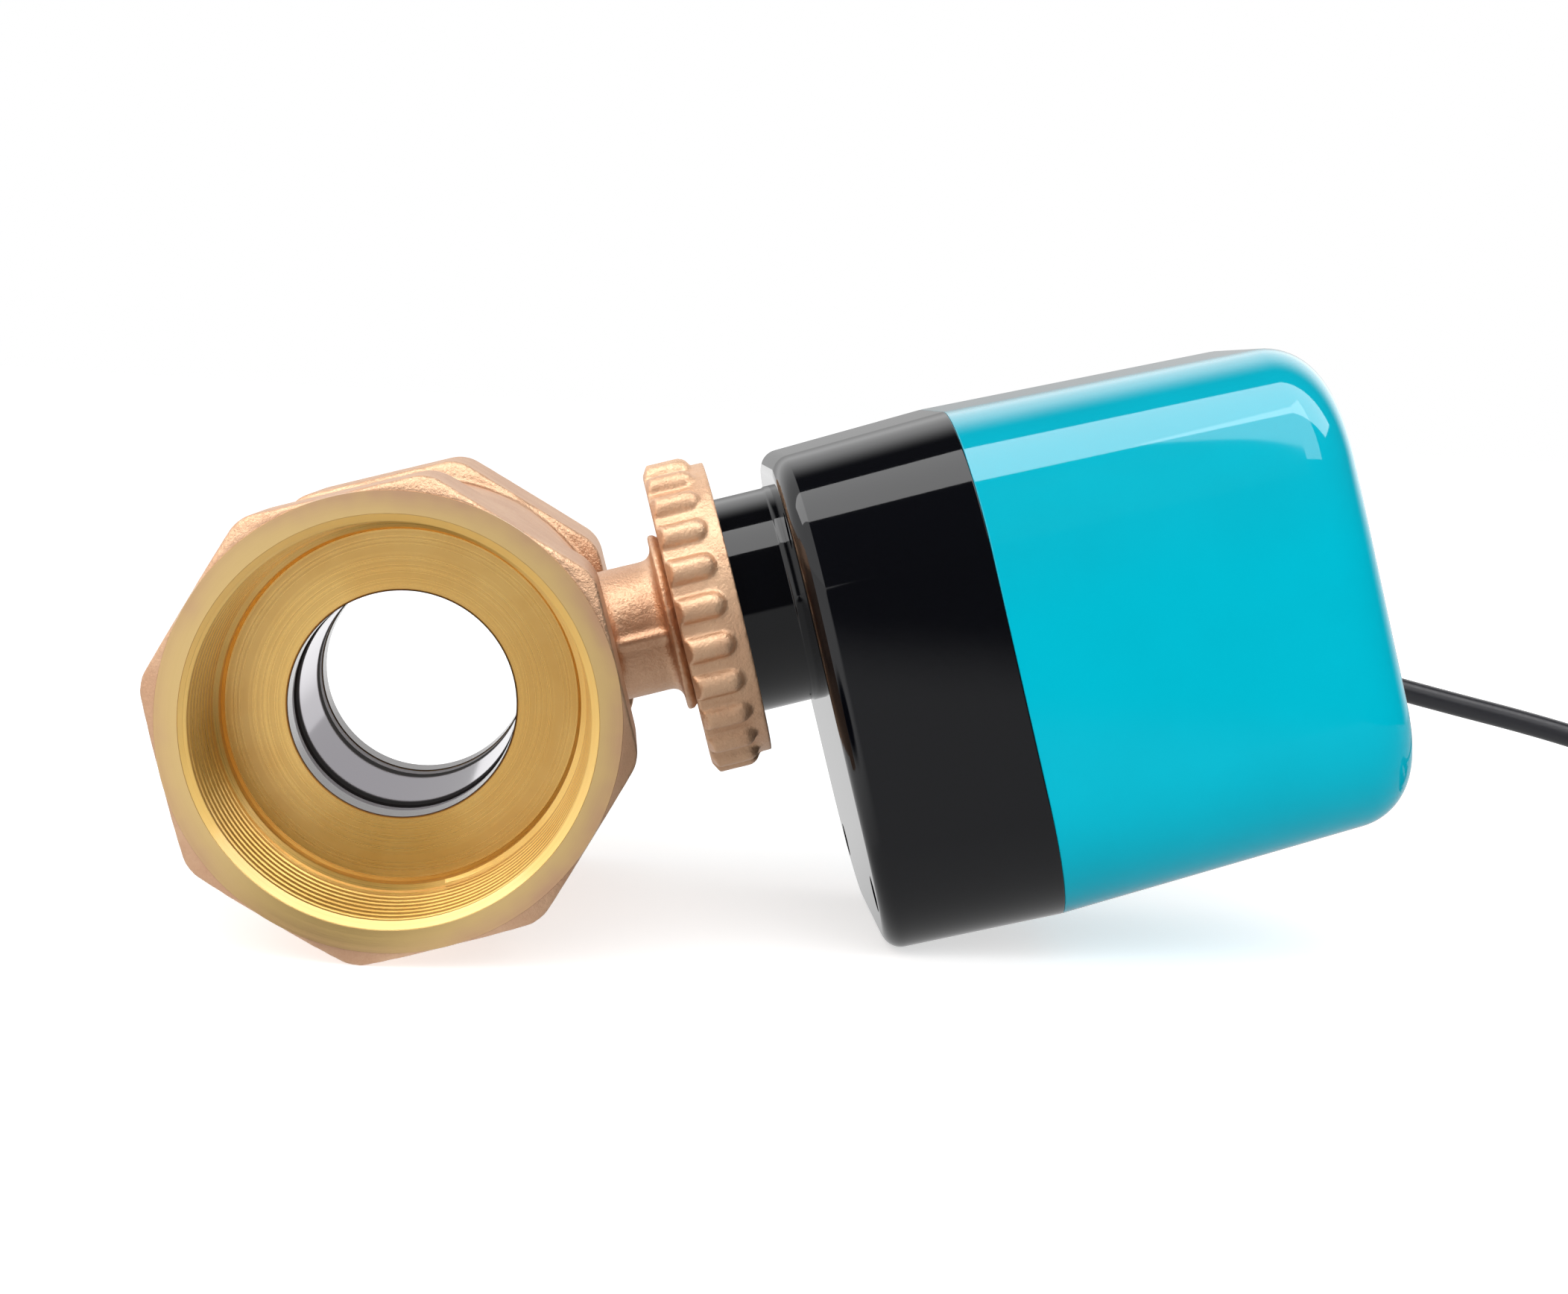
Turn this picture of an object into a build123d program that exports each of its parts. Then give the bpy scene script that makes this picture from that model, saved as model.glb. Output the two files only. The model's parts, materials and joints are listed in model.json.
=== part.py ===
from build123d import *
import os
from math import acos, atan2, cos, degrees, hypot, pi, radians, sin, sqrt, tan

# Motorized ball valve for a two inch pipe, all sizes in millimetres.
# A brass body with octagonal ends holds a chromed ball. A ribbed union nut joins it to an
# electric actuator: a motor and gears in a two-part plastic housing, with a free cable.
# Every piece is drawn in the valve's own axes: X across, Y along the pipe, Z up the stem.
# At the end the whole valve is laid down on a bench, on its ends and a corner of the housing.

# Clearances
running_gap = 0.05
thread_gap = 0.1
sliding_gap = 0.15
ball_gap = 0.12

# Brass body and end cap
face_to_face = 108.0
across_flats = 68.0
flat_corner_round = 6.0
end_cone_angle = 30.0
inlet_hub_length = 25.6
outlet_hub_length = 32.7
barrel_wall = 4.0
thread_wall_radius = 28.33
thread_length = 21.0
mouth_radius = 30.37
thread_end_radius = 27.5
socket_depth = 24.5
port_radius = 17.5
spigot_wall = 6.5
spigot_length = 14.9
seal_groove_depth = 1.6
seal_width = 1.8

# Ball, seats and stem
ball_wall = 8.5
bore_edge_chamfer = 0.8
chamber_gap = 0.8
seat_bore_gap = 0.2
seat_width = 4.8
seat_backing = 3.8
seat_height = 9.0
slot_width = 8.2
slot_depth = 5.5
tang_length = 14.0
stem_radius = 6.0
stem_foot_radius = 8.4
stem_foot_height = 2.4
stem_foot_gap = 0.3
washer_thickness = 1.1
stem_ring_depth = 1.4
stem_ring_height = 1.8
stem_ring_heights = (36.0, 41.0)
drive_square = 9.0
drive_length = 8.5

# Neck, flange and union nut
neck_radius = 10.8
neck_fillet = 2.5
flange_height = 42.5
flange_radius = 14.8
flange_thickness = 1.2
flange_fillet = 1.8
boss_radius = 14.0
boss_height = 6.3
lug_width = 3.0
lug_height = 1.4
lug_inner_radius = 9.0
lug_outer_radius = 13.0
nut_step = 0.5
nut_length = 10.1
nut_thread_length = 5.4
nut_band_radius = 24.3
nut_rib_count = 24
nut_rib_radius = 2.15
nut_rib_stand = 1.7
nut_plain_band = 2.0
nut_cone_height = 1.0
nut_cone_inset = 1.8
wire_radius = 0.8
wire_height = 1.9

# Actuator housing
collar_radius = 17.9
collar_length = 14.1
collar_lip = 0.2
collar_lip_height = 1.2
base_height = 28.9
cover_height = 60.0
housing_short_side = 23.8
housing_long_side = 59.1
housing_depth = 76.5
housing_corner = 22.0
base_draft = 2.0
cover_draft = 2.2
base_edge_round = 3.2
cover_edge_round = 9.8
wall = 2.5
floor_thickness = 3.0
lip_height = 3.0
lip_thickness = 1.15
seal_thickness = 0.8
post_inset = 14.2
post_radius = 4.4
screw_well_radius = 2.9
screw_well_roof = 5.0
screw_head_height = 2.4
screw_radius = 1.5
cover_post_radius = 3.6
cover_screw_grip = 10.0

# Gear train
module = 1.0
pressure_angle = 20.0
tooth_addendum = 0.8
tooth_dedendum = 1.15
tooth_backlash = 0.2
centre_allowance = 0.1
output_teeth = 36
idler_wheel_teeth = 30
pinion_teeth = 14
idler_direction = 20.0
motor_direction = -40.0
output_gear_thickness = 7.0
wheel_thickness = 4.0
layer_gap = 1.0
bush_wall = 2.5
bush_flange_width = 4.0
bush_flange_thickness = 1.3
output_shaft_radius = 8.0
shaft_end_gap = 0.4
bush_end_gap = 0.6
gear_seat_radius = 6.0
cam_seat_radius = 5.0
idler_pin_radius = 2.0
motor_shaft_radius = 2.0
motor_shaft_reach = 6.0
motor_bearing_depth = 8.0
shaft_bore_margin = 1.5
plate_thickness = 2.0
plate_gap = 2.6
plate_post_radius = 3.5
plate_post_left_step = 22.8
plate_post_right_step = 9.1
plate_post_wall_gap = 6.75
plate_margin = 0.8
plate_notch_margin = 4.8
plate_screw_length = 10.0

# Motor, switches and circuit board
motor_wall_gap = 1.1
motor_cam_gap = 4.5
motor_height = 22.0
motor_rim = 1.0
motor_y = -2.0
motor_ear_side = 2.1
motor_ear_drop = 9.4
motor_ear_step = 3.0
motor_ear_radius = 2.8
motor_ear_thickness = 1.2
motor_head_radius = 2.6
cam_radius = 7.2
cam_lobe_radius = 9.0
cam_nose_radius = 3.0
cam_thickness = 4.5
cam_open_direction = 90.0
cam_close_direction = 180.0
switch_length = 20.0
switch_depth = 10.0
switch_height = 6.0
switch_lift = 1.2
switch_gap = 0.1
plunger_radius = 1.0
plunger_stand = 1.2
plunger_length = 7.0
plunger_travel = 0.8
switch_screw_radius = 1.2
switch_head_radius = 2.4
switch_spacer_radius = 2.5
tab_width = 2.4
tab_length = 3.0
tab_thickness = 0.5
tab_pitch = 5.0
board_height = 32.0
board_thickness = 1.6
pillar_radius = 2.5
pillar_left_step = 4.2
pillar_left_gap = 4.4
pillar_right_step = 20.1
pillar_right_gap = 10.25
capacitor_length = 18.0
capacitor_width = 9.0
capacitor_height = 16.0
relay_length = 20.0
relay_width = 16.0
relay_height = 15.5
component_x = 24.0
capacitor_y = 14.0
relay_y = -12.0
terminal_length = 8.0
terminal_width = 16.0
terminal_height = 10.0
terminal_x = -12.0
terminal_well_radius = 1.6
terminal_well_depth = 3.0
terminal_pitch = 5.0
component_edge = 0.6

# Cable gland and cable
gland_x = -1.5
gland_rise = 14.4
gland_pad_radius = 9.5
gland_pad_stand = 0.15
gland_pad_depth = 5.4
gland_thread_radius = 6.0
gland_across_flats = 15.0
gland_flange = 4.0
gland_nut_length = 9.0
gland_flats_length = 4.95
gland_dome_round = 3.4
gland_locknut_length = 3.0
gland_stub_end = 1.0
gland_seal_length = 6.0
gland_seal_wall = 1.6
cable_radius = 2.25
cable_joint = 44.0
core_count = 3
core_radius = 0.75
core_gap = 0.15
core_tail = 6.0
sheath_tail = 2.0
core_length = 22.0
tinned_radius = 0.45
tinned_length = 6.0
core_spread = 8.0
core_start = 0.15
core_fan_gap = 0.35

# The free cable's route from the gland to the coil, on the bench, chosen by hand,
# and the share of its shorter run that each arc between two runs takes up
arc_share = 0.45
cable_route = [
    (12.43, 44.0, 60.51),
    (12.43, 62.0, 60.51),
    (20.0, 76.5, 60.2),
    (37.0, 83.0, 57.2),
    (65.0, 84.5, 51.0),
    (96.0, 82.5, 43.5),
    (127.0, 80.0, 36.5),
    (158.0, 76.5, 30.6),
    (181.0, 68.5, 24.0),
    (197.5, 54.5, 13.0),
    (203.5, 39.5, 7.95),
    (203.5, 25.5, 7.95),
]

# The coil of cable that is put away, seen from above its turns run clockwise
coil_x = 177.5
coil_y = 21.0
coil_outer_radius = 26.0
coil_pitch = 5.0
coil_lift = 0.7
coil_quarters = 10
coil_samples = 400
tie_quarter = 3
tie_thickness = 0.6
tie_width = 4.0
tie_gap = 0.1

# Half the turn at each corner of an octagonal end
half_corner = radians(22.5)

# Stations worked out along the pipe and up the stem
ball_radius = port_radius + ball_wall
seat_outer_radius = port_radius + seat_bore_gap + seat_width
seat_back = sqrt(ball_radius**2 - port_radius**2) + seat_backing
spigot_radius = seat_outer_radius + spigot_wall
barrel_radius = spigot_radius + barrel_wall
face = face_to_face / 2
half_flats = across_flats / 2
corner_reach = (half_flats - flat_corner_round) / cos(half_corner) + flat_corner_round
inlet_joint = inlet_hub_length - face
outlet_joint = face - outlet_hub_length
mouth_chamfer = mouth_radius - thread_wall_radius
shoulder = face - socket_depth
chamber_radius = ball_radius + chamber_gap
washer_top = chamber_radius + stem_foot_height + washer_thickness
boss_base = flange_height + flange_thickness
boss_top = boss_base + boss_height
nut_base = boss_base + nut_step
nut_top = nut_base + nut_length
base_bottom = boss_top + collar_length
seam = base_bottom + base_height
cover_top = seam + cover_height
floor_top = base_bottom + floor_thickness
gear_level = floor_top + bush_flange_thickness + layer_gap
wheel_level = gear_level + output_gear_thickness + layer_gap
plate_bottom = wheel_level + wheel_thickness + plate_gap
plate_top = plate_bottom + plate_thickness
board_level = plate_top + board_height
output_pitch_radius = module * output_teeth / 2
wheel_pitch_radius = module * idler_wheel_teeth / 2
pinion_pitch_radius = module * pinion_teeth / 2
idler_distance = output_pitch_radius + pinion_pitch_radius + centre_allowance
motor_distance = wheel_pitch_radius + pinion_pitch_radius + centre_allowance
idler_x = idler_distance * cos(radians(idler_direction))
idler_y = idler_distance * sin(radians(idler_direction))
pinion_x = idler_x + motor_distance * cos(radians(motor_direction))
pinion_y = idler_y + motor_distance * sin(radians(motor_direction))
housing_x = (housing_long_side - housing_short_side) / 2
housing_width = housing_long_side + housing_short_side
post_reach_x = housing_width / 2 - housing_corner + post_inset * cos(radians(45))
post_reach_y = housing_depth / 2 - housing_corner + post_inset * sin(radians(45))
post_places = [(housing_x + i * post_reach_x, j * post_reach_y) for i in (-1, 1) for j in (-1, 1)]
plate_post_x = (
    housing_x - post_reach_x + plate_post_left_step,
    housing_x + post_reach_x - plate_post_right_step,
)
plate_post_y = housing_depth / 2 - wall - plate_post_wall_gap
plate_post_places = [(x, j * plate_post_y) for x in plate_post_x for j in (-1, 1)]
board_clearance = cover_post_radius + plate_margin
pillar_left = housing_x - post_reach_x - pillar_left_step
pillar_left_y = post_reach_y - board_clearance - pillar_left_gap
pillar_right = housing_x + post_reach_x - pillar_right_step
pillar_right_y = housing_depth / 2 - pillar_right_gap
pillar_places = [(pillar_left, j * pillar_left_y) for j in (-1, 1)]
pillar_places += [(pillar_right, j * pillar_right_y) for j in (-1, 1)]
motor_near = cam_lobe_radius + motor_cam_gap
motor_far = housing_long_side - wall - motor_wall_gap
motor_radius = (motor_far - motor_near) / 2
motor_x = (motor_far + motor_near) / 2
motor_ear_direction = degrees(
    atan2(
        post_reach_y - motor_ear_drop - motor_y,
        housing_x + post_reach_x + motor_ear_side - motor_x,
    )
)
gland_pad_face = housing_depth / 2 + gland_pad_stand
gland_height = base_bottom + gland_rise


def rod(radius, low, high, x=0.0, y=0.0):
    """A cylinder up the stem direction between two heights."""
    place = Pos(x, y, low)
    return place * Cylinder(radius, high - low, align=(Align.CENTER, Align.CENTER, Align.MIN))


def block(x_size, y_size, low, high, x=0.0, y=0.0):
    """A box centred on a plan position between two heights."""
    place = Pos(x, y, low)
    return place * Box(x_size, y_size, high - low, align=(Align.CENTER, Align.CENTER, Align.MIN))


def turned(*profile):
    """A solid turned about the stem axis from (radius, height) points."""
    return revolve(Plane.XZ * make_face(Polyline(*profile, close=True)), Axis.Z)


def along_pipe(solid):
    """Turns a solid drawn up the stem axis so that its height runs along the pipe."""
    return Rot(-90, 0, 0) * solid


def polar(radius, angle):
    """A plan point at a radius and an angle in degrees."""
    return (radius * cos(radians(angle)), radius * sin(radians(angle)))


def hexagon(across, low, high):
    """A hexagonal prism by its width across flats."""
    plan = RegularPolygon(across / 2, 6, major_radius=False, rotation=30)
    return extrude(Pos(0, 0, low) * plan, high - low)


# Valve body


def octagon_hub(low, high):
    """An octagonal end whose corners are cut back by a cone at both faces."""
    outline = RegularPolygon(half_flats, 8, major_radius=False, rotation=degrees(half_corner))
    prism = extrude(Pos(0, 0, low) * fillet(outline.vertices(), flat_corner_round), high - low)
    rise = (corner_reach - half_flats) * tan(radians(end_cone_angle))
    cones = turned(
        (0, low),
        (half_flats, low),
        (corner_reach, low + rise),
        (corner_reach, high - rise),
        (half_flats, high),
        (0, high),
    )
    return prism & cones


def socket_profile():
    """Half of the flow way from the pipe thread's mouth in to the seat, as radius and station."""
    return [
        (mouth_radius, face + 1),
        (mouth_radius, face),
        (thread_wall_radius, face - mouth_chamfer),
        (thread_wall_radius, face - thread_length),
        (thread_end_radius, face - thread_length),
        (thread_end_radius, shoulder),
        (port_radius, shoulder),
        (port_radius, seat_back),
        (seat_outer_radius + running_gap, seat_back),
    ]


def make_valve_body():
    hub = along_pipe(octagon_hub(outlet_joint, face))
    barrel = along_pipe(rod(barrel_radius, inlet_joint, outlet_joint))
    neck = rod(neck_radius, 0, flange_height)
    body = barrel + neck
    neck_root = body.edges().filter_by(GeomType.BSPLINE).filter_by_position(
        Axis.Z, half_flats / 2, barrel_radius
    )
    body = fillet(neck_root, neck_fillet)
    flange = rod(neck_radius, flange_height - 2 * flange_fillet, flange_height)
    flange = flange + rod(flange_radius, flange_height, boss_base)
    flange_root = flange.edges().filter_by(GeomType.CIRCLE).filter_by_position(
        Axis.Z, flange_height, flange_height
    )
    flange = fillet(flange_root.sort_by(SortBy.RADIUS)[0], flange_fillet)
    boss = rod(boss_radius, boss_base, boss_top)
    lugs = [
        block(lug_outer_radius - lug_inner_radius, lug_width, boss_top, boss_top + lug_height, x=side)
        for side in (
            -(lug_outer_radius + lug_inner_radius) / 2,
            (lug_outer_radius + lug_inner_radius) / 2,
        )
    ]
    body = body + hub + flange + boss + lugs
    flow_way = along_pipe(
        turned(
            (0, face + 1),
            *socket_profile(),
            (seat_outer_radius + running_gap, seat_back - seat_height),
            (chamber_radius, seat_back - seat_height),
            (chamber_radius, inlet_joint + spigot_length),
            (spigot_radius + thread_gap, inlet_joint + spigot_length),
            (spigot_radius + thread_gap, inlet_joint - 1),
            (0, inlet_joint - 1),
        )
    )
    foot_well = rod(stem_foot_radius + sliding_gap, 0, washer_top)
    stem_way = rod(stem_radius + running_gap, 0, boss_top + lug_height)
    return body - flow_way - foot_well - stem_way


def make_end_cap():
    hub = along_pipe(octagon_hub(-face, inlet_joint))
    spigot = along_pipe(rod(spigot_radius, inlet_joint, inlet_joint + spigot_length - thread_gap))
    flow_way = along_pipe(
        turned(
            (0, -face - 1),
            *[(radius, -station) for radius, station in socket_profile()],
            (seat_outer_radius + running_gap, inlet_joint + spigot_length + 1),
            (0, inlet_joint + spigot_length + 1),
        )
    )
    return hub + spigot - flow_way - body_seal_ring(0)


def body_seal_ring(gap):
    """The soft ring in the groove of the end cap's spigot, or with no gap the groove itself."""
    low = inlet_joint + seal_width
    ring = turned(
        (spigot_radius - seal_groove_depth + gap, low + gap),
        (spigot_radius + thread_gap - gap, low + gap),
        (spigot_radius + thread_gap - gap, low + seal_width - gap),
        (spigot_radius - seal_groove_depth + gap, low + seal_width - gap),
    )
    return along_pipe(ring)


def make_seat():
    """The outlet seat, a soft ring hollowed to the ball."""
    ring = along_pipe(
        turned(
            (port_radius + seat_bore_gap, seat_back - seat_height),
            (seat_outer_radius, seat_back - seat_height),
            (seat_outer_radius, seat_back),
            (port_radius + seat_bore_gap, seat_back),
        )
    )
    return ring - Sphere(ball_radius + ball_gap)


def make_ball():
    bore = along_pipe(rod(port_radius, -ball_radius, ball_radius))
    bore_edge = sqrt(ball_radius**2 - port_radius**2)
    flared = port_radius + bore_edge_chamfer
    flare = along_pipe(turned((0, bore_edge), (flared, bore_edge), (0, bore_edge - flared)))
    slot = block(2 * ball_radius, slot_width, ball_radius - slot_depth, ball_radius + 1)
    return Sphere(ball_radius) - bore - flare - Rot(0, 0, 180) * flare - slot


def make_stem():
    foot_base = chamber_radius - stem_foot_gap
    tang_low = ball_radius - slot_depth + sliding_gap
    tang = block(tang_length, slot_width - 2 * sliding_gap, tang_low, foot_base)
    foot = rod(stem_foot_radius, foot_base, chamber_radius + stem_foot_height)
    tang_in_foot = tang & rod(stem_foot_radius, tang_low, foot_base)
    shank = rod(stem_radius, foot_base, boss_top)
    square = block(drive_square, drive_square, boss_top, boss_top + drive_length)
    drive = square & rod(stem_radius, boss_top, boss_top + drive_length)
    grooves = stem_rings(0.0)
    return tang_in_foot + foot + shank + drive - grooves


def stem_rings(gap):
    """The stem's two sealing rings, or with no gap their grooves."""
    inner = stem_radius - stem_ring_depth + gap
    outer = stem_radius + running_gap - gap
    return [
        rod(outer, height + gap, height + stem_ring_height - gap)
        - rod(inner, height, height + stem_ring_height)
        for height in stem_ring_heights
    ]


def make_thrust_washer():
    low = chamber_radius + stem_foot_height
    return rod(stem_foot_radius, low, washer_top) - rod(stem_radius + running_gap, low, washer_top)


# Union nut


def make_union_nut():
    """A knurled nut with half-round ribs that end in a ball short of the plain band."""
    rib_centre = nut_band_radius + nut_rib_stand - nut_rib_radius
    rib_end = nut_top - nut_plain_band - nut_rib_radius
    rib = rod(nut_rib_radius, nut_base, rib_end, x=rib_centre)
    rib = rib + Pos(rib_centre, 0, rib_end) * Sphere(nut_rib_radius)
    ribs = [Rot(0, 0, 360 * (i + 0.5) / nut_rib_count) * rib for i in range(nut_rib_count)]
    blank = rod(nut_band_radius, nut_base, nut_top) + ribs
    reach = nut_band_radius + nut_rib_stand + 1
    envelope = turned(
        (0, nut_base),
        (reach - 1 - nut_cone_inset, nut_base),
        (reach, nut_base + nut_cone_height * (1 + 1 / nut_cone_inset)),
        (reach, nut_top),
        (0, nut_top),
    )
    thread = rod(boss_radius + thread_gap, nut_base, nut_top)
    recess = rod(collar_radius + sliding_gap, nut_base + nut_thread_length, nut_top)
    groove = retaining_wire(wire_radius + sliding_gap)
    return (blank & envelope) - thread - recess - groove


def retaining_wire(radius):
    """The round wire ring that holds the nut on the collar, or with more radius its groove."""
    circle = Pos(collar_radius + sliding_gap / 2, boss_top + wire_height) * Circle(radius)
    return revolve(Plane.XZ * circle, Axis.Z)


# Housing


def outline(inset):
    """The housing's rounded plan shape at the seam, drawn in by an inset."""
    plan = RectangleRounded(
        housing_width - 2 * inset, housing_depth - 2 * inset, housing_corner - inset
    )
    return Pos(housing_x, 0) * plan


def base_block(inset, depth):
    """A drafted block from the seam down."""
    return extrude(Pos(0, 0, seam) * outline(inset), depth, dir=(0, 0, -1), taper=base_draft)


def cover_block(inset, height):
    """A drafted block from the seam up."""
    return extrude(Pos(0, 0, seam) * outline(inset), height, taper=cover_draft)


def lip(low, high, gap):
    """The rim inside the seam, which both halves share."""
    inner = wall + gap
    outer = wall - lip_thickness - gap
    plan = Pos(0, 0, low) * (outline(outer) - outline(inner))
    return extrude(plan, high - low)


def make_base():
    outer = base_block(0, base_height)
    outer = fillet(outer.faces().sort_by(Axis.Z)[0].edges(), base_edge_round)
    hollow = base_block(wall, base_height - floor_thickness)
    posts = [rod(post_radius, base_bottom, seam, x, y) for x, y in post_places]
    plate_posts = [
        rod(plate_post_radius, floor_top - 1, plate_bottom, x, y) for x, y in plate_post_places
    ]
    collar = rod(collar_radius, boss_top, floor_top)
    collar_ring = rod(collar_radius + collar_lip, base_bottom - collar_lip_height, base_bottom)
    pad_low = gland_pad_face - gland_pad_depth
    pad = Pos(gland_x, 0, gland_height) * along_pipe(rod(gland_pad_radius, pad_low, gland_pad_face))
    pin_boss = rod(2 * idler_pin_radius, floor_top - 1, gear_level - layer_gap / 2, idler_x, idler_y)
    shell = outer - hollow + posts + plate_posts + collar + collar_ring + pad + pin_boss
    shell = shell + lip(seam, seam + lip_height, 0)
    wells = [
        rod(screw_well_radius, base_bottom - 1, seam - screw_well_roof, x, y) for x, y in post_places
    ]
    screw_holes = [
        rod(screw_radius + sliding_gap, base_bottom, seam + 1, x, y) for x, y in post_places
    ]
    pilots = [
        rod(screw_radius + running_gap, plate_bottom - plate_screw_length, plate_bottom + 1, x, y)
        for x, y in plate_post_places
    ]
    shaft_way = rod(output_shaft_radius + bush_wall + running_gap, boss_top - 1, floor_top + 1)
    gland_way = Pos(gland_x, 0, gland_height) * along_pipe(
        rod(gland_thread_radius + sliding_gap, pad_low - 1, gland_pad_face + 1)
    )
    pin_hole = rod(idler_pin_radius + running_gap, floor_top - 1, gear_level, idler_x, idler_y)
    notches = block(
        2 * lug_outer_radius + 2 * sliding_gap,
        lug_width + 2 * sliding_gap,
        boss_top - 1,
        boss_top + lug_height + sliding_gap,
    )
    shell = shell - wells - screw_holes - pilots - shaft_way - gland_way - pin_hole - notches
    return shell - retaining_wire(wire_radius + running_gap)


def make_cover():
    outer = cover_block(0, cover_height)
    outer = fillet(outer.faces().sort_by(Axis.Z)[-1].edges(), cover_edge_round)
    hollow = cover_block(wall, cover_height - wall)
    hollow = fillet(hollow.faces().sort_by(Axis.Z)[-1].edges(), cover_edge_round - wall)
    posts = [
        outer & rod(cover_post_radius, seam, cover_top - wall, x, y) for x, y in post_places
    ]
    pilots = [
        rod(screw_radius + running_gap, seam - 1, seam + cover_screw_grip + 1, x, y)
        for x, y in post_places
    ]
    rim_space = lip(seam - 1, seam + lip_height + seal_thickness, running_gap)
    return (outer - hollow + posts - pilots) - rim_space


def make_cover_screws():
    head_top = seam - screw_well_roof
    screws = []
    for x, y in post_places:
        head = rod(screw_well_radius - sliding_gap, head_top - screw_head_height, head_top, x, y)
        shank = rod(screw_radius, head_top, seam + cover_screw_grip, x, y)
        screws.append(head + shank)
    return screws


# Gears


def gear(teeth, low, thickness, tooth_at, x=0.0, y=0.0):
    """A spur gear with a tooth centred on the direction tooth_at, in degrees."""
    pitch_radius = module * teeth / 2
    base_radius = pitch_radius * cos(radians(pressure_angle))
    tip_radius = pitch_radius + module * tooth_addendum
    root_radius = pitch_radius - module * tooth_dedendum

    def half_tooth(radius):
        roll = acos(min(1.0, base_radius / radius))
        lean = radians(pressure_angle)
        involute = (tan(lean) - lean) - (tan(roll) - roll)
        return degrees(pi / (2 * teeth) - tooth_backlash / (4 * pitch_radius) + involute)

    at_root = half_tooth(root_radius)
    at_pitch = half_tooth(pitch_radius)
    at_tip = half_tooth(tip_radius)
    step = 360 / teeth
    edges = []
    for i in range(teeth):
        mid = tooth_at + i * step
        edges += [
            ThreePointArc(
                polar(root_radius, mid - at_root),
                polar(pitch_radius, mid - at_pitch),
                polar(tip_radius, mid - at_tip),
            ),
            ThreePointArc(
                polar(tip_radius, mid - at_tip), polar(tip_radius, mid), polar(tip_radius, mid + at_tip)
            ),
            ThreePointArc(
                polar(tip_radius, mid + at_tip),
                polar(pitch_radius, mid + at_pitch),
                polar(root_radius, mid + at_root),
            ),
            ThreePointArc(
                polar(root_radius, mid + at_root),
                polar(root_radius, mid + step / 2),
                polar(root_radius, mid + step - at_root),
            ),
        ]
    return Pos(x, y, low) * extrude(make_face(edges), thickness)


def make_output_shaft():
    shaft = rod(output_shaft_radius, boss_top + shaft_end_gap, gear_level - layer_gap / 2)
    shaft = shaft + rod(gear_seat_radius, gear_level - layer_gap / 2, plate_top + layer_gap / 2)
    shaft = shaft + rod(cam_seat_radius, plate_top, cam_levels()[1] + cam_thickness + 1)
    side = drive_square + 2 * sliding_gap
    depth = drive_length + 1
    square = block(side, side, boss_top, boss_top + depth)
    return shaft - (square & rod(stem_radius + sliding_gap, boss_top, boss_top + depth))


def make_shaft_bush():
    outer = output_shaft_radius + bush_wall
    bush = rod(outer, boss_top + lug_height + bush_end_gap, floor_top)
    flange = rod(outer + bush_flange_width, floor_top, floor_top + bush_flange_thickness)
    return bush + flange - rod(output_shaft_radius + running_gap, boss_top, gear_level)


def make_output_gear():
    wheel = gear(output_teeth, gear_level, output_gear_thickness, idler_direction)
    bore = rod(gear_seat_radius + running_gap / 2, gear_level - 1, wheel_level + 1)
    return wheel - bore


def make_idler_gear():
    """A pinion and a wheel moulded in one, on a fixed pin."""
    gap_at = idler_direction + 180 + 180 / pinion_teeth
    pinion_height = output_gear_thickness + layer_gap
    pinion = gear(pinion_teeth, gear_level, pinion_height, gap_at, idler_x, idler_y)
    wheel = gear(
        idler_wheel_teeth, wheel_level, wheel_thickness, motor_direction, idler_x, idler_y
    )
    collar = rod(2 * idler_pin_radius, wheel_level, plate_bottom - layer_gap, idler_x, idler_y)
    bore = rod(idler_pin_radius + running_gap, gear_level - 1, plate_bottom, idler_x, idler_y)
    return pinion + wheel + collar - bore


def make_idler_pin():
    return rod(idler_pin_radius, floor_top - 1, plate_bottom, idler_x, idler_y)


def make_motor_pinion():
    gap_at = motor_direction + 180 + 180 / pinion_teeth
    pinion = gear(pinion_teeth, wheel_level, wheel_thickness + 0.5, gap_at, pinion_x, pinion_y)
    return pinion - rod(motor_shaft_radius, wheel_level - 1, plate_bottom, pinion_x, pinion_y)


def make_motor_shaft():
    top = plate_top + motor_shaft_reach
    return rod(motor_shaft_radius, wheel_level, top, pinion_x, pinion_y)


def make_gear_plate():
    plan = outline(wall + (seam - plate_top) * tan(radians(base_draft)) + plate_margin)
    plate = extrude(Pos(0, 0, plate_bottom) * plan, plate_thickness)
    holes = []
    for x, y in post_places:
        outwards = degrees(atan2(y / abs(y), (x - housing_x) / post_reach_x))
        slot_width = 2 * (post_radius + plate_margin)
        slot = block(post_inset, slot_width, plate_bottom - 1, plate_top + 1, x=post_inset / 2)
        holes.append(Pos(x, y) * Rot(0, 0, outwards) * slot)
        holes.append(rod(slot_width / 2, plate_bottom - 1, plate_top + 1, x, y))
    holes += [
        rod(screw_radius + sliding_gap, plate_bottom - 1, plate_top + 1, x, y)
        for x, y in plate_post_places
    ]
    holes.append(rod(gear_seat_radius + thread_gap, plate_bottom - 1, plate_top + 1))
    holes.append(
        rod(motor_shaft_radius + shaft_bore_margin, plate_bottom - 1, plate_top + 1, pinion_x, pinion_y)
    )
    notch_width = gland_across_flats + plate_notch_margin
    notch_edge = locknut_end - gland_stub_end - plate_margin
    notch = block(
        notch_width,
        housing_depth,
        plate_bottom - 1,
        plate_top + 1,
        x=gland_x - plate_margin,
        y=notch_edge + housing_depth / 2,
    )
    return plate - holes - notch


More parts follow.
